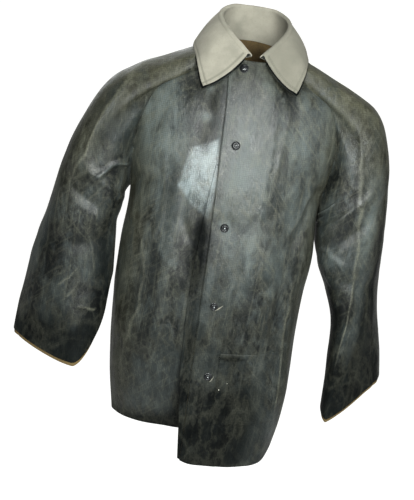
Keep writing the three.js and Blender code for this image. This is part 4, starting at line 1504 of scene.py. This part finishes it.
def canvas(name, base, soil, much):
    """Plain-woven cotton: threads over and under, softly soiled."""
    def build(tree, inputs):
        place = add_node(tree, "TexCoord", {}, "Object")
        cloud = add_node(tree, "TexNoise", {"Vector": place, "Scale": 30, "Detail": 6, "Roughness": 0.6})
        grain = add_node(tree, "TexNoise", {"Vector": place, "Scale": 420, "Detail": 3})
        across, upward = ribs(tree, place, WEAVE, 3, 2)
        threads = add_node(tree, "Math", {"operation": "MAXIMUM", 0: across, 1: upward})
        dirt, specks = SOIL
        share = mapped(tree, [(*dirt, 0, much), specks], {"cloud": cloud, "grain": grain})
        coats = [
            (share["dirty"], hue(soil)),
            (share["specks"], hue(soil)),
            (layer(tree, "handled"), hue("seam")),
            (layer(tree, "sewn", top=0.75), hue("seam")),
        ]
        tree.links.new(over(tree, hue(base), *coats), inputs["Base Color"])
        tree.links.new(bumps(tree, (threads, 0.0003, 0.6), (cloud, 0.002, 0.5)), inputs["Normal"])
        inputs["Roughness"].default_value = 0.92
        inputs["IOR"].default_value = CANVAS_IOR

    return finish(name, build)


def collar_canvas():
    # Washed duck: a pale dry weave, grey where it was handled and along the stitching
    return canvas("Cotton duck, washed pale", "collar", "soil", 0.9)


def cuff_canvas():
    # Brown duck: a dull warm line under the black cuffs
    return canvas("Cotton duck, dyed brown", "cuff", "backing", 0.9)


def canvas_backing():
    # Bare cotton: a warm matt inside, darkened by use
    return canvas("Cotton canvas, unbleached", "backing", "soot", 0.5)


def plain_finish(name, shade, roughness, metallic=0.0, ior=1.5, coat=0.0):
    def build(tree, inputs):
        place = add_node(tree, "TexCoord", {}, "Object")
        grain = add_node(tree, "TexNoise", {"Vector": place, "Scale": 600, "Detail": 4})
        rough = {0: grain, 1: 0.3, 2: 0.7, 3: 0.8 * roughness, 4: 1.2 * roughness}
        tree.links.new(add_node(tree, "MapRange", rough), inputs["Roughness"])
        inputs["Base Color"].default_value = hue(shade)
        inputs["Metallic"].default_value = metallic
        inputs["IOR"].default_value = ior
        inputs["Coat Weight"].default_value = coat

    return finish(name, build)


def snap_lacquer():
    # Baked black lacquer: a small sharp highlight on each ring
    return plain_finish("Brass snap, japanned black", "snap", 0.28, coat=0.5)


def worn_metal():
    # Bare metal: a bright dot where thumbs have rubbed the lacquer off
    return plain_finish("Brass snap, nickel plated and worn", "metal", 0.3, metallic=1)


def cotton_thread():
    # Twisted cotton: short matt stitches, a little darker than the canvas
    return plain_finish("Cotton sewing thread, twisted", "soil", 0.9)


def old_paint():
    # Dried paint: pale matt specks
    return plain_finish("Oil paint, dried in spots", "fleck", 0.7)


def studio_paper():
    def build(tree, inputs):
        # Seamless paper, lit from behind: an even pale ground
        inputs["Base Color"].default_value = hue("sheet")
        inputs["Roughness"].default_value = 0.9
        inputs["Emission Color"].default_value = hue("paper")
        seen = add_node(tree, "LightPath", {}, "Is Camera Ray")
        glow = add_node(tree, "MapRange", {0: seen, 3: PAPER_LIGHT, 4: PAPER_GLOW})
        tree.links.new(glow, inputs["Emission Strength"])

    return finish("Studio paper, translucent", build)


# Studio

ROOM_LIGHT = 0.12  # how bright the room is to the jacket, beside 1 to the camera
PAPER_LIGHT = 0.25  # and the paper, beside its glow to the camera
PAPER_GLOW = 1.0
SENSOR = 36  # millimetres along its long side
LENS = 50.4
AZIMUTH = math.radians(-5.3)
ELEVATION = math.radians(16.45)
ROLL = math.radians(7.84)
DISTANCE = 1.436
TARGET = np.array([-0.026, 0, -0.41])

# Soft lights: place, width, watts
LIGHTS = {
    "window": ((-0.5, -1.45, 0.0), 0.3, 12),
    "main": ((0.3, -1.65, 0.2), 0.7, 32),
    "side": ((1.6, -0.9, 0.3), 1.0, 7),
    "top": ((-0.2, 0.2, 1.6), 1.6, 11),
    "back": ((-0.7, 1.9, 0.5), 1.4, 12),
}
LIT = np.array([0, 0, -0.35])  # what they point at

# Paper in metres: half its width, its front edge, where it bends up, its bend and its top
SWEEP_HALF = 7.0
SWEEP_FRONT = -1.5
SWEEP_BACK = 2.0
SWEEP_BEND = 1.5
SWEEP_TOP = 5.0
SWEEP_STEPS = 13


def facing_matrix(right, up, place):
    """Matrix of something at a place that looks away from the cross of its right and up."""
    made = np.eye(4)
    made[:3, 0], made[:3, 1], made[:3, 2], made[:3, 3] = right, up, np.cross(right, up), place
    return Matrix(made.tolist())


def add_camera(context):
    away = np.array([math.sin(AZIMUTH), -math.cos(AZIMUTH), math.tan(ELEVATION)]) * math.cos(ELEVATION)
    right = np.array([math.cos(AZIMUTH), math.sin(AZIMUTH), 0])
    up = np.cross(away, right)
    turned_right = math.cos(ROLL) * right + math.sin(ROLL) * up
    turned_up = math.cos(ROLL) * up - math.sin(ROLL) * right
    camera = bpy.data.objects.new("camera", bpy.data.cameras.new("camera"))
    camera.data.lens = LENS
    camera.data.sensor_width = SENSOR
    camera.matrix_world = facing_matrix(turned_right, turned_up, TARGET + away * DISTANCE)
    context.scene.collection.objects.link(camera)
    context.scene.camera = camera
    return camera


def add_lamp(context, name, place, width, watts):
    lamp = bpy.data.objects.new(f"light_{name}", bpy.data.lights.new(name, "AREA"))
    lamp.data.size = width
    lamp.data.energy = watts
    lamp.data.color = hue("daylight")[:3]
    toward = unit(np.array(place) - LIT)
    side = unit(np.cross([0, 0, 1], toward))
    lamp.matrix_world = facing_matrix(side, np.cross(toward, side), np.array(place))
    context.scene.collection.objects.link(lamp)
    return lamp


def add_paper():
    turn = np.linspace(0, math.pi / 2, SWEEP_STEPS)
    floor = -sizes().floor_drop
    bend = zip(SWEEP_BACK + SWEEP_BEND * np.sin(turn), floor + SWEEP_BEND * (1 - np.cos(turn)))
    profile = [(SWEEP_FRONT, floor), *bend, (SWEEP_BACK + SWEEP_BEND, SWEEP_TOP)]
    spots = [(x, y, z) for y, z in profile for x in (-SWEEP_HALF, SWEEP_HALF)]
    faces = [[2 * i, 2 * i + 1, 2 * i + 3, 2 * i + 2] for i in range(len(profile) - 1)]
    return add_object("backdrop", spots, faces, [studio_paper()])


class JACKET_OT_stage(bpy.types.Operator):
    """Adds the pale floor and backdrop, the soft lights and the camera"""

    bl_idname = "jacket.stage"
    bl_label = "Studio"

    def execute(self, context):
        camera = add_camera(context)
        made = [add_lamp(context, name, *lamp) for name, lamp in LIGHTS.items()]
        world = bpy.data.worlds.new("studio")
        world.use_nodes = True
        # A bright room to look at, whose light on the jacket is dim beside the lamps
        seen = add_node(world.node_tree, "LightPath", {}, "Is Camera Ray")
        strength = add_node(world.node_tree, "MapRange", {0: seen, 3: ROOM_LIGHT, 4: 1.0})
        room = world.node_tree.nodes["Background"].inputs
        room["Color"].default_value = hue("paper")
        world.node_tree.links.new(strength, room["Strength"])
        context.scene.world = world
        context.scene.view_settings.view_transform = "Standard"
        sweep = add_paper()
        return {"FINISHED"}


# Add-on


class JACKET_PT_panel(bpy.types.Panel):
    """Lists the jacket's pieces, sizes and colours in the sidebar"""

    bl_label = "Rubber work jacket"
    bl_space_type = "VIEW_3D"
    bl_region_type = "UI"
    bl_category = "Jacket"

    def draw(self, context):
        for group in (context.scene.jacket_sizes, context.scene.jacket_colours):
            for name in group.__annotations__:
                self.layout.prop(group, name)
        for step in STEPS:
            self.layout.operator(step.bl_idname)


STEPS = [JACKET_OT_body, JACKET_OT_sleeves, JACKET_OT_collar, JACKET_OT_snaps, JACKET_OT_stage]
CLASSES = [JacketColours, JacketSizes, *STEPS, JACKET_PT_panel]


def register():
    for one in CLASSES:
        bpy.utils.register_class(one)
    bpy.types.Scene.jacket_sizes = bpy.props.PointerProperty(type=JacketSizes)
    bpy.types.Scene.jacket_colours = bpy.props.PointerProperty(type=JacketColours)


def unregister():
    del bpy.types.Scene.jacket_colours
    del bpy.types.Scene.jacket_sizes
    for one in reversed(CLASSES):
        bpy.utils.unregister_class(one)


def main():
    register()
    for step in STEPS:
        getattr(bpy.ops.jacket, step.bl_idname.split(".")[1])()


if __name__ == "__main__":
    main()
